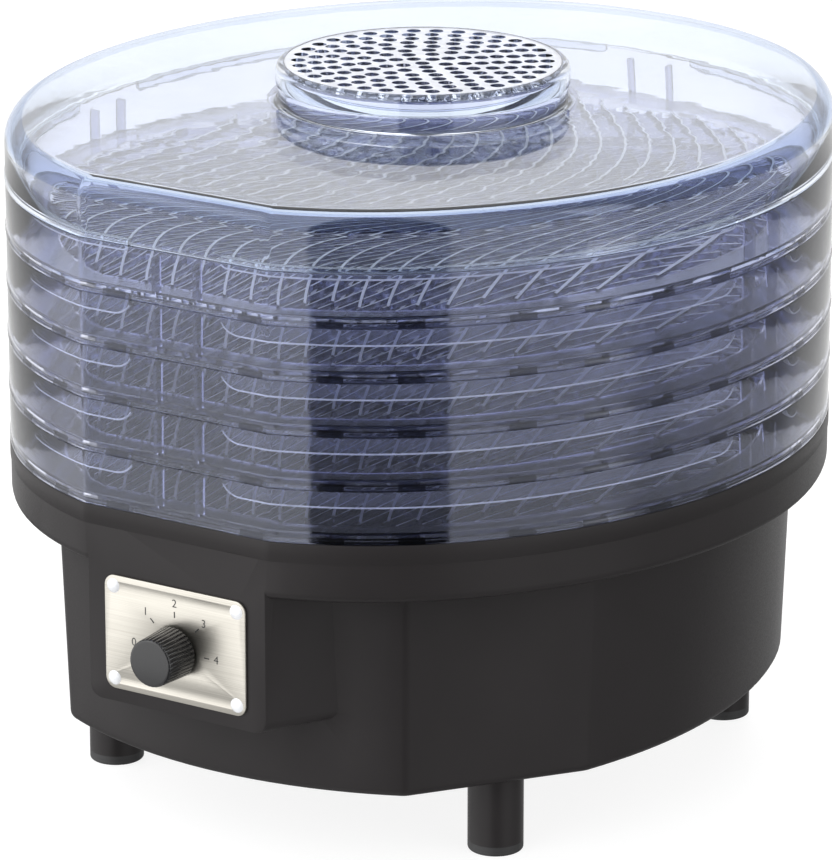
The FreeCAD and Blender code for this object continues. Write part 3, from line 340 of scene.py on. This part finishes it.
def make_materials():
    made = {
        "black_plastic": moulded("black_plastic", (0.0130, 0.0115, 0.0119), (0.0172, 0.0153, 0.0159), 0.42,
                                 shine=0.17),
        "rubber": moulded("rubber", (0.010, 0.010, 0.011), (0.018, 0.018, 0.019), 0.62, 2400.0, 0.00003),
        "zinc_steel": plated("zinc_steel", (0.42, 0.43, 0.44), (0.62, 0.63, 0.62), 0.28),
        "brushed_plate": brushed("brushed_plate", (0.34, 0.325, 0.29), (0.45, 0.43, 0.39), 0.34),
        "white_rivet": moulded("white_rivet", (0.58, 0.59, 0.61), (0.66, 0.67, 0.69), 0.22,
                               700.0, 0.00001, 0.2),
        "switch_plastic": moulded("switch_plastic", (0.05, 0.05, 0.048), (0.09, 0.088, 0.085), 0.5),
        "knob_plastic": moulded("knob_plastic", (0.006, 0.006, 0.007), (0.011, 0.011, 0.012), 0.2,
                                1800.0, 0.00001, 0.15, 0.35),
        "galvanised_sheet": spangled("galvanised_sheet", (0.36, 0.38, 0.40), (0.60, 0.62, 0.63), 0.38),
        "motor_steel": plated("motor_steel", (0.30, 0.31, 0.32), (0.48, 0.49, 0.50), 0.32),
        "fan_plastic": moulded("fan_plastic", (0.03, 0.031, 0.034), (0.055, 0.056, 0.06), 0.45),
        "mica": moulded("mica", (0.36, 0.31, 0.22), (0.62, 0.56, 0.43), 0.3, 420.0, 0.00008, 0.3),
        "heater_wire": plated("heater_wire", (0.20, 0.17, 0.16), (0.44, 0.40, 0.37), 0.36),
        "smoky_tray": clear("smoky_tray", (0.69, 0.72, 0.88), (0.76, 0.79, 0.93), 0.03, 0.00008, 1.0),
        "clear_lid": clear("clear_lid", (0.80, 0.855, 0.95), (0.85, 0.895, 0.965), 0.012, 0.00005, 1.0),
        # painted shade: dark copy of the clear plastic for the walls of the vent holes
        "painted_deep_shade": clear("painted_deep_shade", (0.12, 0.13, 0.19), (0.18, 0.20, 0.28), 0.06, 0.0001),
        # painted shade: darker blue copy of the lid plastic for its rounded shoulder
        "painted_shoulder_shade": clear("painted_shoulder_shade", (0.34, 0.44, 0.66), (0.42, 0.52, 0.74), 0.012, 0.00005, 1.0),
        # painted shade: darkest copy for the lips' undersides and the stacking pads
        "painted_lip_and_pad_shade": clear("painted_lip_and_pad_shade", (0.06, 0.065, 0.09), (0.10, 0.105, 0.14), 0.1, 0.0001),
        # painted highlight: milky white for the lower edges of the nesting skirts
        "painted_highlight_edge": milky("painted_highlight_edge", (0.90, 0.93, 0.98), 0.15),
        # painted shade: darker copy of the tray plastic for ledge, ribs, bars and ties
        "tray_lattice": clear("tray_lattice", (0.30, 0.32, 0.46), (0.42, 0.44, 0.60), 0.05, 0.0001, 0.8),
        # painted highlight: pale milky tops of the bars and of the vent plate
        "painted_highlight_top": milky("painted_highlight_top", (0.88, 0.90, 0.97), 0.42),
        "dial_print": moulded("dial_print", (0.012, 0.012, 0.012), (0.02, 0.02, 0.02), 0.5),
    }
    return made


def of_clear_piece(materials, body):
    """Materials of a clear piece, in the order of the slot numbers above."""
    others = ("painted_deep_shade", "painted_lip_and_pad_shade", "painted_highlight_edge", "tray_lattice", "painted_highlight_top", "painted_shoulder_shade")
    return [materials[name] for name in (body, *others)]


# ---------------------------------------------------------------- outline of rim, trays and lid
def on_arc(centre_x, centre_y, radius, start, end, count):
    for index in range(count):
        angle = start + (end - start) * index / count
        yield centre_x + radius * math.cos(angle), centre_y + radius * math.sin(angle)


def oval(inset, fineness=1.0):
    """Points of the cabinet outline, counter-clockwise; every inset has the same number of points."""
    side, end, flat = SIDE_RADIUS - inset, END_RADIUS - inset, FRONT_FLAT - inset
    turn = math.atan2(END_CENTRE, SIDE_CENTRE)
    corner = math.acos((flat - END_CENTRE) / end)
    half = end * math.sin(corner)
    sides, back, front, chord = (round(n * fineness) for n in (90, 100, 44, 32))
    points = list(on_arc(-SIDE_CENTRE, 0, side, -turn, turn, sides))
    points += on_arc(0, END_CENTRE, end, turn, math.pi - turn, back)
    points += on_arc(SIDE_CENTRE, 0, side, math.pi - turn, math.pi + turn, sides)
    points += on_arc(0, -END_CENTRE, end, math.pi + turn, 1.5 * math.pi - corner, front)
    points += [(half * (2 * k / chord - 1), -flat) for k in range(chord)]
    points += on_arc(0, -END_CENTRE, end, 1.5 * math.pi + corner, 2 * math.pi - turn, front)
    return points


def inside(x, y, inset):
    """Whether a point lies within the outline drawn that far in."""
    side, end = SIDE_RADIUS - inset, END_RADIUS - inset
    turn = math.atan2(END_CENTRE, SIDE_CENTRE)
    if y < inset - FRONT_FLAT:
        return False
    across = math.hypot(abs(x) + SIDE_CENTRE, y)
    if abs(math.atan2(y, abs(x) + SIDE_CENTRE)) <= turn:
        return across <= side
    return math.hypot(x, abs(y) - END_CENTRE) <= end


def place(x, y, z, base):
    """From millimetres round the oval's axis to metres in the frame."""
    return Vector((x * MM, AXIS_Y + y * MM, base + z * MM))


# ---------------------------------------------------------------- mesh helpers
def new_object(name, bm, *materials):
    mesh = bpy.data.meshes.new(name)
    bmesh.ops.recalc_face_normals(bm, faces=bm.faces)
    bm.to_mesh(mesh)
    bm.free()
    made = bpy.data.objects.new(name, mesh)
    bpy.context.scene.collection.objects.link(made)
    for material in materials:
        mesh.materials.append(material)
    return made


def smooth(item, degrees=35.0):
    item.data.polygons.foreach_set("use_smooth", [True] * len(item.data.polygons))
    item.data.set_sharp_from_angle(angle=math.radians(degrees))


def bevel(item, width):
    made = item.modifiers.new("soft_edges", "BEVEL")
    made.width = width * MM
    made.segments = 2
    made.limit_method = "ANGLE"
    made.angle_limit = math.radians(SHARP_ANGLE)
    made.harden_normals = True


def loops(bm, stations, closed_path, kind=0, kinds=None, marks=None):
    """Skins a row of equal closed sections, each a list of points. `kinds` gives a span of the section
    another material slot, and `marks` does so for chosen spans at chosen stations."""
    rows = [[bm.verts.new(point) for point in section] for section in stations]
    width = len(rows[0])
    spans = len(rows) if closed_path else len(rows) - 1
    for index in range(spans):
        here, there = rows[index], rows[(index + 1) % len(rows)]
        for k in range(width):
            face = bm.faces.new((here[k], here[(k + 1) % width], there[(k + 1) % width], there[k]))
            face.material_index = kinds.get(k, kind) if kinds else kind
            if marks and k in marks["spans"] and index in marks["stations"]:
                face.material_index = marks["kind"]
    if not closed_path:
        for row in (rows[0], rows[-1]):
            bm.faces.new(row).material_index = kind


def sweep_round(bm, profile, base, kinds=None, marks=None):
    """Sweeps a closed profile of (inset, height) round the oval."""
    loops(bm, stations_of([oval(inset, WALL_FINENESS) for inset, _ in profile],
                          [height for _, height in profile], base),
          closed_path=True, kinds=kinds, marks=marks)


def stations_of(outlines, heights, base):
    return [[place(*outline[index], height, base) for outline, height in zip(outlines, heights)]
            for index in range(len(outlines[0]))]


def circle_like_oval(radius):
    """A circle whose points lie at the same bearings as the outline's."""
    return [(radius * x / math.hypot(x, y), radius * y / math.hypot(x, y)) for x, y in oval(0)]


def block(bm, x0, x1, y0, y1, z0, z1, base, kind):
    ends = [[place(x, y, z, base) for y, z in ((y0, z0), (y1, z0), (y1, z1), (y0, z1))] for x in (x0, x1)]
    loops(bm, ends, closed_path=False, kind=kind)


def arc_profile(centre_inset, centre_height, radius, start, end, count):
    """Points of a quarter round on a profile; angle 0 points outward, 90 upward."""
    points = []
    for index in range(count + 1):
        angle = math.radians(start + (end - start) * index / count)
        points.append((centre_inset - radius * math.cos(angle), centre_height + radius * math.sin(angle)))
    return points


# ---------------------------------------------------------------- trays
def add_wall(bm, base):
    """Wall with its foot lip, the ledge inside, a rounded top edge and stacking pads at its foot; the pads
    and the lip's underside are patches of painted shade, and the ledge takes the darker painted-shade copy
    of the tray plastic.
    """
    top = PITCH - 0.15
    profile = [(0.1 - LIP_SHOWN, 0.05), (-LIP_SHOWN, 0.35), (-LIP_SHOWN, 1.2), (0, 1.7), (0, PAD_TOP)]
    profile += [(0, top - 0.5), (0.15, top - 0.12), (0.55, top), (TRAY_WALL - 0.5, top)]
    profile += [(TRAY_WALL, top - 0.5), (TRAY_WALL, 4.4), (TRAY_WALL + 1.0, LEDGE_TOP)]
    profile += [(LEDGE_INSET - 0.3, LEDGE_TOP), (LEDGE_INSET, LEDGE_TOP - 0.3)]
    profile += [(LEDGE_INSET, 1.5), (LEDGE_INSET - 0.3, 1.2)]
    profile += [(TRAY_WALL + 0.2, 1.2), (TRAY_WALL, 0.05)]
    first = profile.index((LEDGE_INSET - 0.3, LEDGE_TOP)) - 1
    last = profile.index((TRAY_WALL + 0.2, 1.2))
    # painted shade: the ledge spans take the darker tray copy, the lip's underside and the pads the darkest
    # one
    kinds = {span: TRAY_SHADE for span in range(first, last)}
    kinds.update({0: LIP_AND_PAD_SHADE, len(profile) - 1: LIP_AND_PAD_SHADE})
    marks = {"spans": (1, 2, 3), "stations": pad_stations(), "kind": LIP_AND_PAD_SHADE}
    sweep_round(bm, profile, base, kinds, marks)


def pad_stations():
    """Stations of the wall's sweep that belong to the row of stacking pads."""
    outline = oval(0, WALL_FINENESS)
    travelled, chosen = 0.0, set()
    for index, (x, y) in enumerate(outline):
        if (travelled + PAD_START) % PAD_PITCH < PAD_LENGTH and break_distance(x, y) > -PAD_LENGTH / 2:
            chosen.add(index)
        nx, ny = outline[(index + 1) % len(outline)]
        travelled += math.hypot(nx - x, ny - y)
    return chosen


def break_distance(x, y):
    """How far a point of the outline is from the nearest gap in the nesting skirt."""
    if abs(y) > abs(x):
        return abs(x) - NEST_BREAK
    return abs(y) - NEST_BREAK


def add_nesting_skirt(bm, base, depth, corner):
    """Four strips hanging inside the wall below, their lower corners rounded off, with a painted highlight
    along their lower edges.
    """
    outer, inner = oval(NEST_OUTER, 2.0), oval(NEST_INNER, 2.0)
    run, runs = [], []
    for (xo, yo), (xi, yi) in zip(outer, inner):
        gap = break_distance(xo, yo)
        if gap <= 0:
            if run:
                runs.append(run)
            run = []
            continue
        share = min(1.0, gap / corner)
        low = -depth * math.sqrt(1 - (1 - share) ** 2)
        corners = ((xo, yo, low + 0.3), (xo, yo, low + 0.9), (xo, yo, 1.1),
                   (xi, yi, 1.1), (xi, yi, low + 0.3))
        edge = ((xi * 0.75 + xo * 0.25, yi * 0.75 + yo * 0.25, low),
                (xi * 0.25 + xo * 0.75, yi * 0.25 + yo * 0.75, low))
        run.append([place(x, y, z, base) for x, y, z in corners + edge])
    runs[0] = run + runs[0]
    for strip in runs:
        # painted highlight along the lower edges of each strip
        loops(bm, strip, closed_path=False, kinds={k: HIGHLIGHT_EDGE for k in (0, 4, 5, 6)})


def add_ribs(bm, base):
    """Pairs of upright ribs at the front, the back and both sides, in the darker painted-shade copy of the
    tray plastic.
    """
    rear = REAR_REACH - TRAY_WALL
    for across in (-RIB_PITCH, RIB_PITCH):
        low, high = across - RIB_HALF_WIDTH, across + RIB_HALF_WIDTH
        front = TRAY_WALL - FRONT_FLAT + 0.05
        reach = HALF_WIDTH - TRAY_WALL - 0.35
        for x0, x1, y0, y1 in ((low, high, front, front + RIB_DEPTH),
                               (low, high, rear - RIB_DEPTH, rear - 0.4),
                               (reach - RIB_DEPTH, reach, low, high),
                               (-reach, RIB_DEPTH - reach, low, high)):
            block(bm, x0, x1, y0, y1, LEDGE_TOP + 0.05, RIB_TOP, base, TRAY_SHADE)


def lean_of_bar(y):
    """Sideways shift of a main lattice bar on its way back: one slow S."""
    return -MAIN_BAR_CURVE * (y + LEAN_MIDDLE) ** 3


def lean_of_slat(y):
    """Sideways shift of a fine slat, which slants the other way and leans over towards the back."""
    return SLAT_SLANT * y + SLAT_CURVE * (y + LEAN_MIDDLE) ** 2


def add_lattice(bm, base, lean, pitch, width, low, high, step=7.0):
    """One family of curved bars, each trimmed to the ledge; painted shade on their sides and ends, a painted
    highlight on their tops.
    """
    inset = LEDGE_INSET - BARS_INSET
    reach = REAR_REACH - inset
    rows = int(2 * reach / step) + 2
    span = int((HALF_WIDTH + abs(lean(-reach)) + abs(lean(reach))) / pitch) + 1
    for number in range(-span, span + 1):
        bar = []
        for row in range(rows + 1):
            y = -reach + row * 2 * reach / rows
            x = (number + 0.5) * pitch + lean(y)
            if not inside(x, y, inset):
                if len(bar) > 1:
                    loops(bm, bar, closed_path=False, kind=TRAY_SHADE, kinds={2: HIGHLIGHT_TOP})
                bar = []
                continue
            section = ((x - width / 2, low), (x + width / 2, low), (x + width * BAR_TOP_SHARE, high),
                       (x - width * BAR_TOP_SHARE, high))
            bar.append([place(px, y, pz, base) for px, pz in section])
        if len(bar) > 1:
            loops(bm, bar, closed_path=False, kind=TRAY_SHADE, kinds={2: HIGHLIGHT_TOP})


def add_cross_ties(bm, base):
    """Thin straight bars that cross the lattice, a little aslant, in the darker painted-shade copy of the
    tray plastic.
    """
    inset = LEDGE_INSET - BARS_INSET
    for row in range(-3, 4):
        y = row * TIE_PITCH - TIE_OFFSET
        bar = []
        for k in range(-30, 31):
            x = k * TIE_STEP
            slanted = y + TIE_SLANT * x
            if inside(x, slanted, inset):
                bar.append([place(x, slanted + dy, dz, base) for dy, dz in TIE_SECTION])
        loops(bm, bar, closed_path=False, kind=TRAY_SHADE)


def make_trays(materials):
    first = bmesh.new()
    base = SEAM
    add_wall(first, base)
    add_nesting_skirt(first, base, NEST_DEPTH, NEST_CORNER)
    add_ribs(first, base)
    add_lattice(first, base, lean_of_bar, **MAIN_BARS)
    add_lattice(first, base, lean_of_slat, **FINE_SLATS)
    add_cross_ties(first, base)
    model = new_object("clear_tray_1", first, *of_clear_piece(materials, "smoky_tray"))
    smooth(model)
    for number in range(1, TRAYS + 1):
        if number == 1:
            tray = model
        else:
            mesh = model.data.copy()
            mesh.transform(Matrix.Translation((0, 0, (number - 1) * PITCH * MM)))
            tray = bpy.data.objects.new("clear_tray_%d" % number, mesh)
            bpy.context.scene.collection.objects.link(tray)
        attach(tray, "tray_body_%d" % number)
        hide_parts("tray_%d" % number)


# ---------------------------------------------------------------- lid
def lid_section():
    """Closed section of the lid from its lip over the shoulder and the vent boss and back inside."""
    outline = [(0.1 - LIP_SHOWN, 0.05), (-LIP_SHOWN, 0.35), (-LIP_SHOWN, 1.2), (0, 1.7)]
    outline += arc_profile(SHOULDER, LID_HEIGHT - SHOULDER, SHOULDER, 0, 90, 10)
    outline.append((SHOULDER + 6.0, LID_HEIGHT))
    neck = BOSS_RADIUS - 0.9
    boss = [(BOSS_RADIUS + 3.0, LID_HEIGHT), (neck + 0.9, LID_HEIGHT + 0.1)]
    boss += [(neck + 0.25, LID_HEIGHT + 0.45), (neck, LID_HEIGHT + 1.1), (neck, 29.0)]
    boss += [(BOSS_RADIUS - 0.2, 29.4), (BOSS_RADIUS, 29.9)]
    boss += [(BOSS_RADIUS - BOSS_EDGE - radius, height) for radius, height in
             arc_profile(0, BOSS_TOP - BOSS_EDGE, BOSS_EDGE, 0, 90, 6)]
    boss += [(VENT_RADIUS - 0.3, BOSS_TOP - 0.4), (VENT_RADIUS - 0.3, BOSS_TOP - VENT_PLATE),
             (neck - LID_WALL, BOSS_TOP - VENT_PLATE - 1.0), (neck - LID_WALL, LID_HEIGHT - 1.6),
             (neck - LID_WALL + 1.0, LID_HEIGHT - LID_WALL)]
    back = [(SHOULDER + 6.0, LID_HEIGHT - LID_WALL)]
    back += reversed(arc_profile(SHOULDER, LID_HEIGHT - SHOULDER, SHOULDER - LID_WALL, 0, 90, 8))
    back.append((LID_WALL, 0.05))
    outlines = [oval(inset) for inset, _ in outline]
    outlines += [circle_like_oval(radius) for radius, _ in boss]
    outlines += [oval(inset) for inset, _ in back]
    return outlines, [height for _, height in outline + boss + back]


def vent_holes():
    """Centres of the vent holes: rings, every second one turned by half a step."""
    for ring in range(VENT_RINGS):
        radius = VENT_OUTER_RING - ring * VENT_RING_STEP
        count = int(2 * math.pi * radius / VENT_HOLE_PITCH)
        for number in range(count):
            angle = 2 * math.pi * (number + 0.5 * (ring % 2)) / count
            yield radius * math.cos(angle), radius * math.sin(angle)


def circle(x, y, radius, count):
    turns = [2 * math.pi * k / count for k in range(count)]
    return [(x + radius * math.cos(turn), y + radius * math.sin(turn)) for turn in turns]


def pierced_plate(name, outline, holes, thickness, rim):
    """A flat plate as a mesh about its own middle: extruded outline with holes and slightly rounded rims."""
    curve = bpy.data.curves.new(name, "CURVE")
    curve.dimensions = "2D"
    curve.fill_mode = "BOTH"
    curve.extrude = (thickness / 2 - rim) * MM
    curve.bevel_depth = rim * MM
    curve.bevel_resolution = 1
    for points in (outline, *holes):
        spline = curve.splines.new("POLY")
        spline.use_cyclic_u = True
        spline.points.add(len(points) - 1)
        for (x, y), point in zip(points, spline.points):
            point.co = (x * MM, y * MM, 0, 1)
    holder = bpy.data.objects.new(name, curve)
    mesh = bpy.data.meshes.new_from_object(holder)
    bpy.data.objects.remove(holder)
    return mesh


def vent_plate(base):
    """The pierced disc in the boss: a pale painted highlight on top, painted shade down the walls of its
    holes.
    """
    holes = [circle(x, y, VENT_HOLE + VENT_RIM, HOLE_SIDES) for x, y in vent_holes()]
    outline = circle(0, 0, VENT_RADIUS - VENT_RIM, VENT_SIDES)
    mesh = pierced_plate("vent_plate", outline, holes, VENT_PLATE, VENT_RIM)
    for _ in range(CLEAR_SLOTS):
        mesh.materials.append(None)
    for face in mesh.polygons:
        steep = abs(face.normal.z) < FLAT_ENOUGH
        outer = math.hypot(face.center.x, face.center.y) > (VENT_RADIUS - VENT_EDGE) * MM
        # painted shade on the steep hole walls, painted highlight on the upward faces
        if steep and not outer:
            face.material_index = DEEP_SHADE
        elif face.normal.z > FLAT_ENOUGH:
            face.material_index = HIGHLIGHT_TOP
    mesh.transform(Matrix.Translation(place(0, 0, BOSS_TOP - VENT_PLATE / 2 - VENT_SUNK, base)))
    return mesh


def make_lid(materials):
    base = SEAM + TRAYS * PITCH * MM
    bm = bmesh.new()
    outlines, heights = lid_section()
    # painted shade: a darker blue tint on the shoulder spans and a dark lip underside
    kinds = {span: SHOULDER_SHADE for span in CURVED_SPANS}
    kinds.update({0: LIP_AND_PAD_SHADE, len(heights) - 1: LIP_AND_PAD_SHADE})
    loops(bm, stations_of(outlines, heights, base), closed_path=True, kinds=kinds)
    add_nesting_skirt(bm, base, LID_NEST_DEPTH, LID_NEST_CORNER)
    bm.from_mesh(vent_plate(base))
    bmesh.ops.remove_doubles(bm, verts=bm.verts, dist=WELD_METRES)
    lid = new_object("clear_lid", bm, *of_clear_piece(materials, "clear_lid"))
    smooth(lid)
    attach(lid, "lid_body")
    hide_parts("vented_lid")


# ---------------------------------------------------------------- opaque pieces kept from the CAD model
def finish_copy(node, body, material, width):
    """A copy of a CAD node with welded vertices and softened edges, shown in its place."""
    bm = bmesh.new()
    bm.from_mesh(NODES[node].data)
    bmesh.ops.remove_doubles(bm, verts=bm.verts, dist=CAD_WELD_METRES)
    made = new_object(node + "_finished", bm, material)
    for polygon in made.data.polygons:
        polygon.material_index = 0
    smooth(made, SHARP_ANGLE)
    if width:
        bevel(made, width)
    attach(made, body)
    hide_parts(node)


def paint_nodes(materials):
    """Every CAD node takes the procedural material of its slot in the record."""
    slots = {row["node"]: row["material_slot"] for row in frame["record"]["subparts"]}
    for node, item in NODES.items():
        item.data.materials.clear()
        item.data.materials.append(materials[slots[node]])


def make_rim_bead(material):
    """The shallow step that runs round the top of the rim."""
    bm = bmesh.new()
    profile = [(0.6, -BEAD_HEIGHT), (0.05, -BEAD_HEIGHT), (-BEAD_PROUD, 0.5 - BEAD_HEIGHT)]
    profile += [(-BEAD_PROUD, -0.9), (-BEAD_PROUD * 0.6, -0.35), (0.15, -0.05), (0.6, -0.05)]
    sweep_round(bm, profile, SEAM)
    bead = new_object("rim_bead", bm, material)
    smooth(bead, SOFT_ANGLE)
    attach(bead, "base")


def rounded_rectangle(half_width, half_height, corner, steps=8):
    points = []
    for turn, (sx, sy) in enumerate(((1, 1), (-1, 1), (-1, -1), (1, -1))):
        for step in range(steps + 1):
            angle = math.pi / 2 * (turn + step / steps)
            points.append((sx * (half_width - corner) + corner * math.cos(angle),
                           sy * (half_height - corner) + corner * math.sin(angle)))
    return points


def upright(mesh, middle):
    """Turns a plate drawn flat so that it faces the front, and moves its middle into place."""
    mesh.transform(Matrix.Translation(middle) @ Matrix.Rotation(math.pi / 2, 4, "X"))


def dial_height():
    low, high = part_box("control_knob")
    return (low.z + high.z) / 2


def make_control_plate(material):
    """Brushed plate with softened rims, holes for the switch and for the four rivets."""
    low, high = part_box("control_plate")
    middle = (low + high) / 2
    rim = 0.25
    half_width, half_height = (high.x - low.x) / 2 / MM, (high.z - low.z) / 2 / MM
    outline = rounded_rectangle(half_width - rim, half_height - rim, PLATE_CORNER - rim)
    holes = [circle(sx * RIVET_X, sz * RIVET_Z, RIVET_HOLE + rim, 20) for sx in (-1, 1) for sz in (-1, 1)]
    holes.append(circle(0, (dial_height() - middle.z) / MM, BUSH_HOLE + rim, 32))
    mesh = pierced_plate("control_plate_finished", outline, holes, (high.y - low.y) / MM, rim)
    upright(mesh, middle)
    bm = bmesh.new()
    bm.from_mesh(mesh)
    bmesh.ops.remove_doubles(bm, verts=bm.verts, dist=WELD_METRES)
    plate = new_object("control_plate_finished", bm, material)
    smooth(plate, SOFT_ANGLE)
    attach(plate, "base")
    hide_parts("control_plate")


def digit_mesh(number, height):
    """One plain numeral as a thin slab about its own middle."""
    curve = bpy.data.curves.new("digit_%d" % number, "FONT")
    curve.body = str(number)
    curve.size = height * MM
    curve.extrude = PRINT_DEPTH * MM / 2
    curve.align_x, curve.align_y = "CENTER", "CENTER"
    holder = bpy.data.objects.new(curve.name, curve)
    mesh = bpy.data.meshes.new_from_object(holder)
    bpy.data.objects.remove(holder)
    return mesh


def make_dial_marks(material):
    """Printed ticks round the knob and a plain number for each position of the switch."""
    low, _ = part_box("control_plate")
    centre = Vector((0, low.y - PRINT_PROUD * MM, dial_height()))
    bm = bmesh.new()
    for position in range(DIAL_POSITIONS):
        angle = math.radians(DIAL_START - DIAL_STEP * position)
        along = Vector((math.cos(angle), 0, math.sin(angle)))
        aside = Vector((-math.sin(angle), 0, math.cos(angle)))
        ends = []
        for reach in (TICK_START * MM, TICK_END * MM):
            point = centre + along * reach
            ends.append([point + aside * TICK_HALF_WIDTH * MM * sign + Vector((0, depth * MM, 0))
                         for sign, depth in ((-1, 0), (1, 0), (1, PRINT_DEPTH), (-1, PRINT_DEPTH))])
        loops(bm, ends, closed_path=False)
        digit = digit_mesh(position, DIGIT_HEIGHT)
        upright(digit, centre + along * DIGIT_REACH * MM + Vector((0, PRINT_DEPTH * MM / 2, 0)))
        bm.from_mesh(digit)
    marks = new_object("dial_marks", bm, material)
    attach(marks, "base")


# ---------------------------------------------------------------- room
def make_floor():
    """Plain pale floor that glows a little, so that it keeps only a faint shadow."""
    bm = bmesh.new()
    bmesh.ops.create_grid(bm, x_segments=8, y_segments=8, size=FLOOR_SIZE)
    s = Shader("pale_floor", (0.9, 0.9, 0.9), 0.6)
    s.link(s.blend_colours(s.noise(3.0, 4.0), (0.15, 0.15, 0.151), (0.17, 0.17, 0.17)), "Base Color")
    s.set("Emission Color", (1.0, 1.0, 1.0, 1.0))
    s.set("Emission Strength", FLOOR_GLOW)
    floor = new_object("floor", bm, s.material)
    floor.location.z = CAD_BOX[0].z
    floor.visible_glossy = False


def make_world():
    """White studio: two bright walls with a dark gap between them behind the camera, a dim corner at
    the back right, less light from below and more from above."""
    world = bpy.data.worlds.new("studio")
    world.use_nodes = True
    bpy.context.scene.world = world
    tree = world.node_tree
    background = tree.nodes["Background"]

    def math_node(operation, first, second=None):
        made = tree.nodes.new("ShaderNodeMath")
        made.operation = operation
        for socket, source in zip(made.inputs, (first, second)):
            if isinstance(source, bpy.types.NodeSocket):
                tree.links.new(source, socket)
            elif source is not None:
                socket.default_value = source
        return made.outputs[0]

    def ramp(source, ends, low, high):
        made = tree.nodes.new("ShaderNodeMapRange")
        made.interpolation_type = "SMOOTHSTEP"
        for socket, number in zip(("From Min", "From Max", "To Min", "To Max"), (*ends, low, high)):
            made.inputs[socket].default_value = number
        tree.links.new(source, made.inputs["Value"])
        return made.outputs["Result"]

    def turn_ramp(source, degrees, low, high):
        return ramp(source, [math.radians(end) for end in degrees], low, high)

    direction = tree.nodes.new("ShaderNodeTexCoord").outputs["Generated"]
    parts = tree.nodes.new("ShaderNodeSeparateXYZ")
    tree.links.new(direction, parts.inputs[0])
    azimuth = math_node("ARCTAN2", parts.outputs["X"], math_node("MULTIPLY", parts.outputs["Y"], -1.0))
    from_gap = math_node("ABSOLUTE", math_node("SUBTRACT", azimuth, math.radians(GAP_MIDDLE)))
    walls = turn_ramp(azimuth, WALL_CHANGE, LEFT_WALL_LIGHT, RIGHT_WALL_LIGHT)
    fade = turn_ramp(from_gap, WALL_FADE, 0.0, 1.0)
    room = math_node("ADD", math_node("MULTIPLY", walls, math_node("SUBTRACT", 1.0, fade)),
                     math_node("MULTIPLY", fade, ROOM_LIGHT))
    corner = math_node("SUBTRACT", turn_ramp(azimuth, CORNER_START, 0.0, 1.0),
                       turn_ramp(azimuth, CORNER_END, 0.0, 1.0))
    shade = math_node("SUBTRACT", 1.0, math_node("MULTIPLY", corner, 1.0 - CORNER_LIGHT))
    below = ramp(parts.outputs["Z"], BELOW_HEIGHTS, BELOW_LIGHT, 1.0)
    gap = turn_ramp(from_gap, GAP_EDGE, GAP_LIGHT, 1.0)
    seen = tree.nodes.new("ShaderNodeLightPath").outputs["Is Camera Ray"]
    above = ramp(parts.outputs["Z"], ABOVE_HEIGHTS, 1.0, ABOVE_LIGHT)
    level = math_node("MULTIPLY", above, math_node("MULTIPLY", below, gap))
    lit = math_node("MULTIPLY", math_node("MULTIPLY", room, shade), level)
    strength = math_node("MAXIMUM", lit, math_node("MULTIPLY", seen, BACKDROP_LIGHT))
    tree.links.new(strength, background.inputs["Strength"])
    background.inputs["Color"].default_value = (1.0, 1.0, 1.0, 1.0)


def area_light(name, position, size, power):
    """A rectangular lamp aimed at the middle of the object."""
    data = bpy.data.lights.new(name, "AREA")
    data.shape = "RECTANGLE"
    data.size, data.size_y = size
    data.energy = power
    lamp = bpy.data.objects.new(name, data)
    lamp.location = position
    lamp.rotation_euler = (Vector(LAMP_AIM) - Vector(position)).to_track_quat("-Z", "Y").to_euler()
    bpy.context.scene.collection.objects.link(lamp)


def make_camera():
    """A long lens from the front right, a little above the object."""
    azimuth, elevation = math.radians(CAMERA_AZIMUTH), math.radians(CAMERA_ELEVATION)
    aim = Vector((0, AXIS_Y, SEAM))
    back = Vector((math.sin(azimuth) * math.cos(elevation),
                   -math.cos(azimuth) * math.cos(elevation), math.sin(elevation)))
    data = bpy.data.cameras.new("camera")
    data.lens = CAMERA_LENS
    data.sensor_width = CAMERA_SENSOR
    data.shift_x, data.shift_y = CAMERA_SHIFT
    data.clip_start, data.clip_end = 0.1, 50.0
    camera = bpy.data.objects.new("camera", data)
    camera.location = aim + back * CAMERA_DISTANCE
    camera.rotation_mode = "QUATERNION"
    camera.rotation_quaternion = (-back).to_track_quat("-Z", "Y")
    bpy.context.scene.collection.objects.link(camera)
    bpy.context.scene.camera = camera


# ---------------------------------------------------------------- scene
materials = make_materials()
paint_nodes(materials)
make_trays(materials)
finish_copy("base_housing", "base", materials["black_plastic"], HOUSING_BEVEL)
make_rim_bead(materials["black_plastic"])
make_control_plate(materials["brushed_plate"])
finish_copy("control_knob", "knob", materials["knob_plastic"], 0.0)
make_lid(materials)
make_dial_marks(materials["dial_print"])
make_floor()
make_world()
area_light("key_light", (-1.6, -1.8, 2.2), (1.2, 1.2), KEY_LIGHT)
area_light("side_light", (2.4, 0.2, 1.2), (0.6, 1.6), SIDE_LIGHT)
make_camera()
bpy.context.scene.view_settings.view_transform = "Standard"
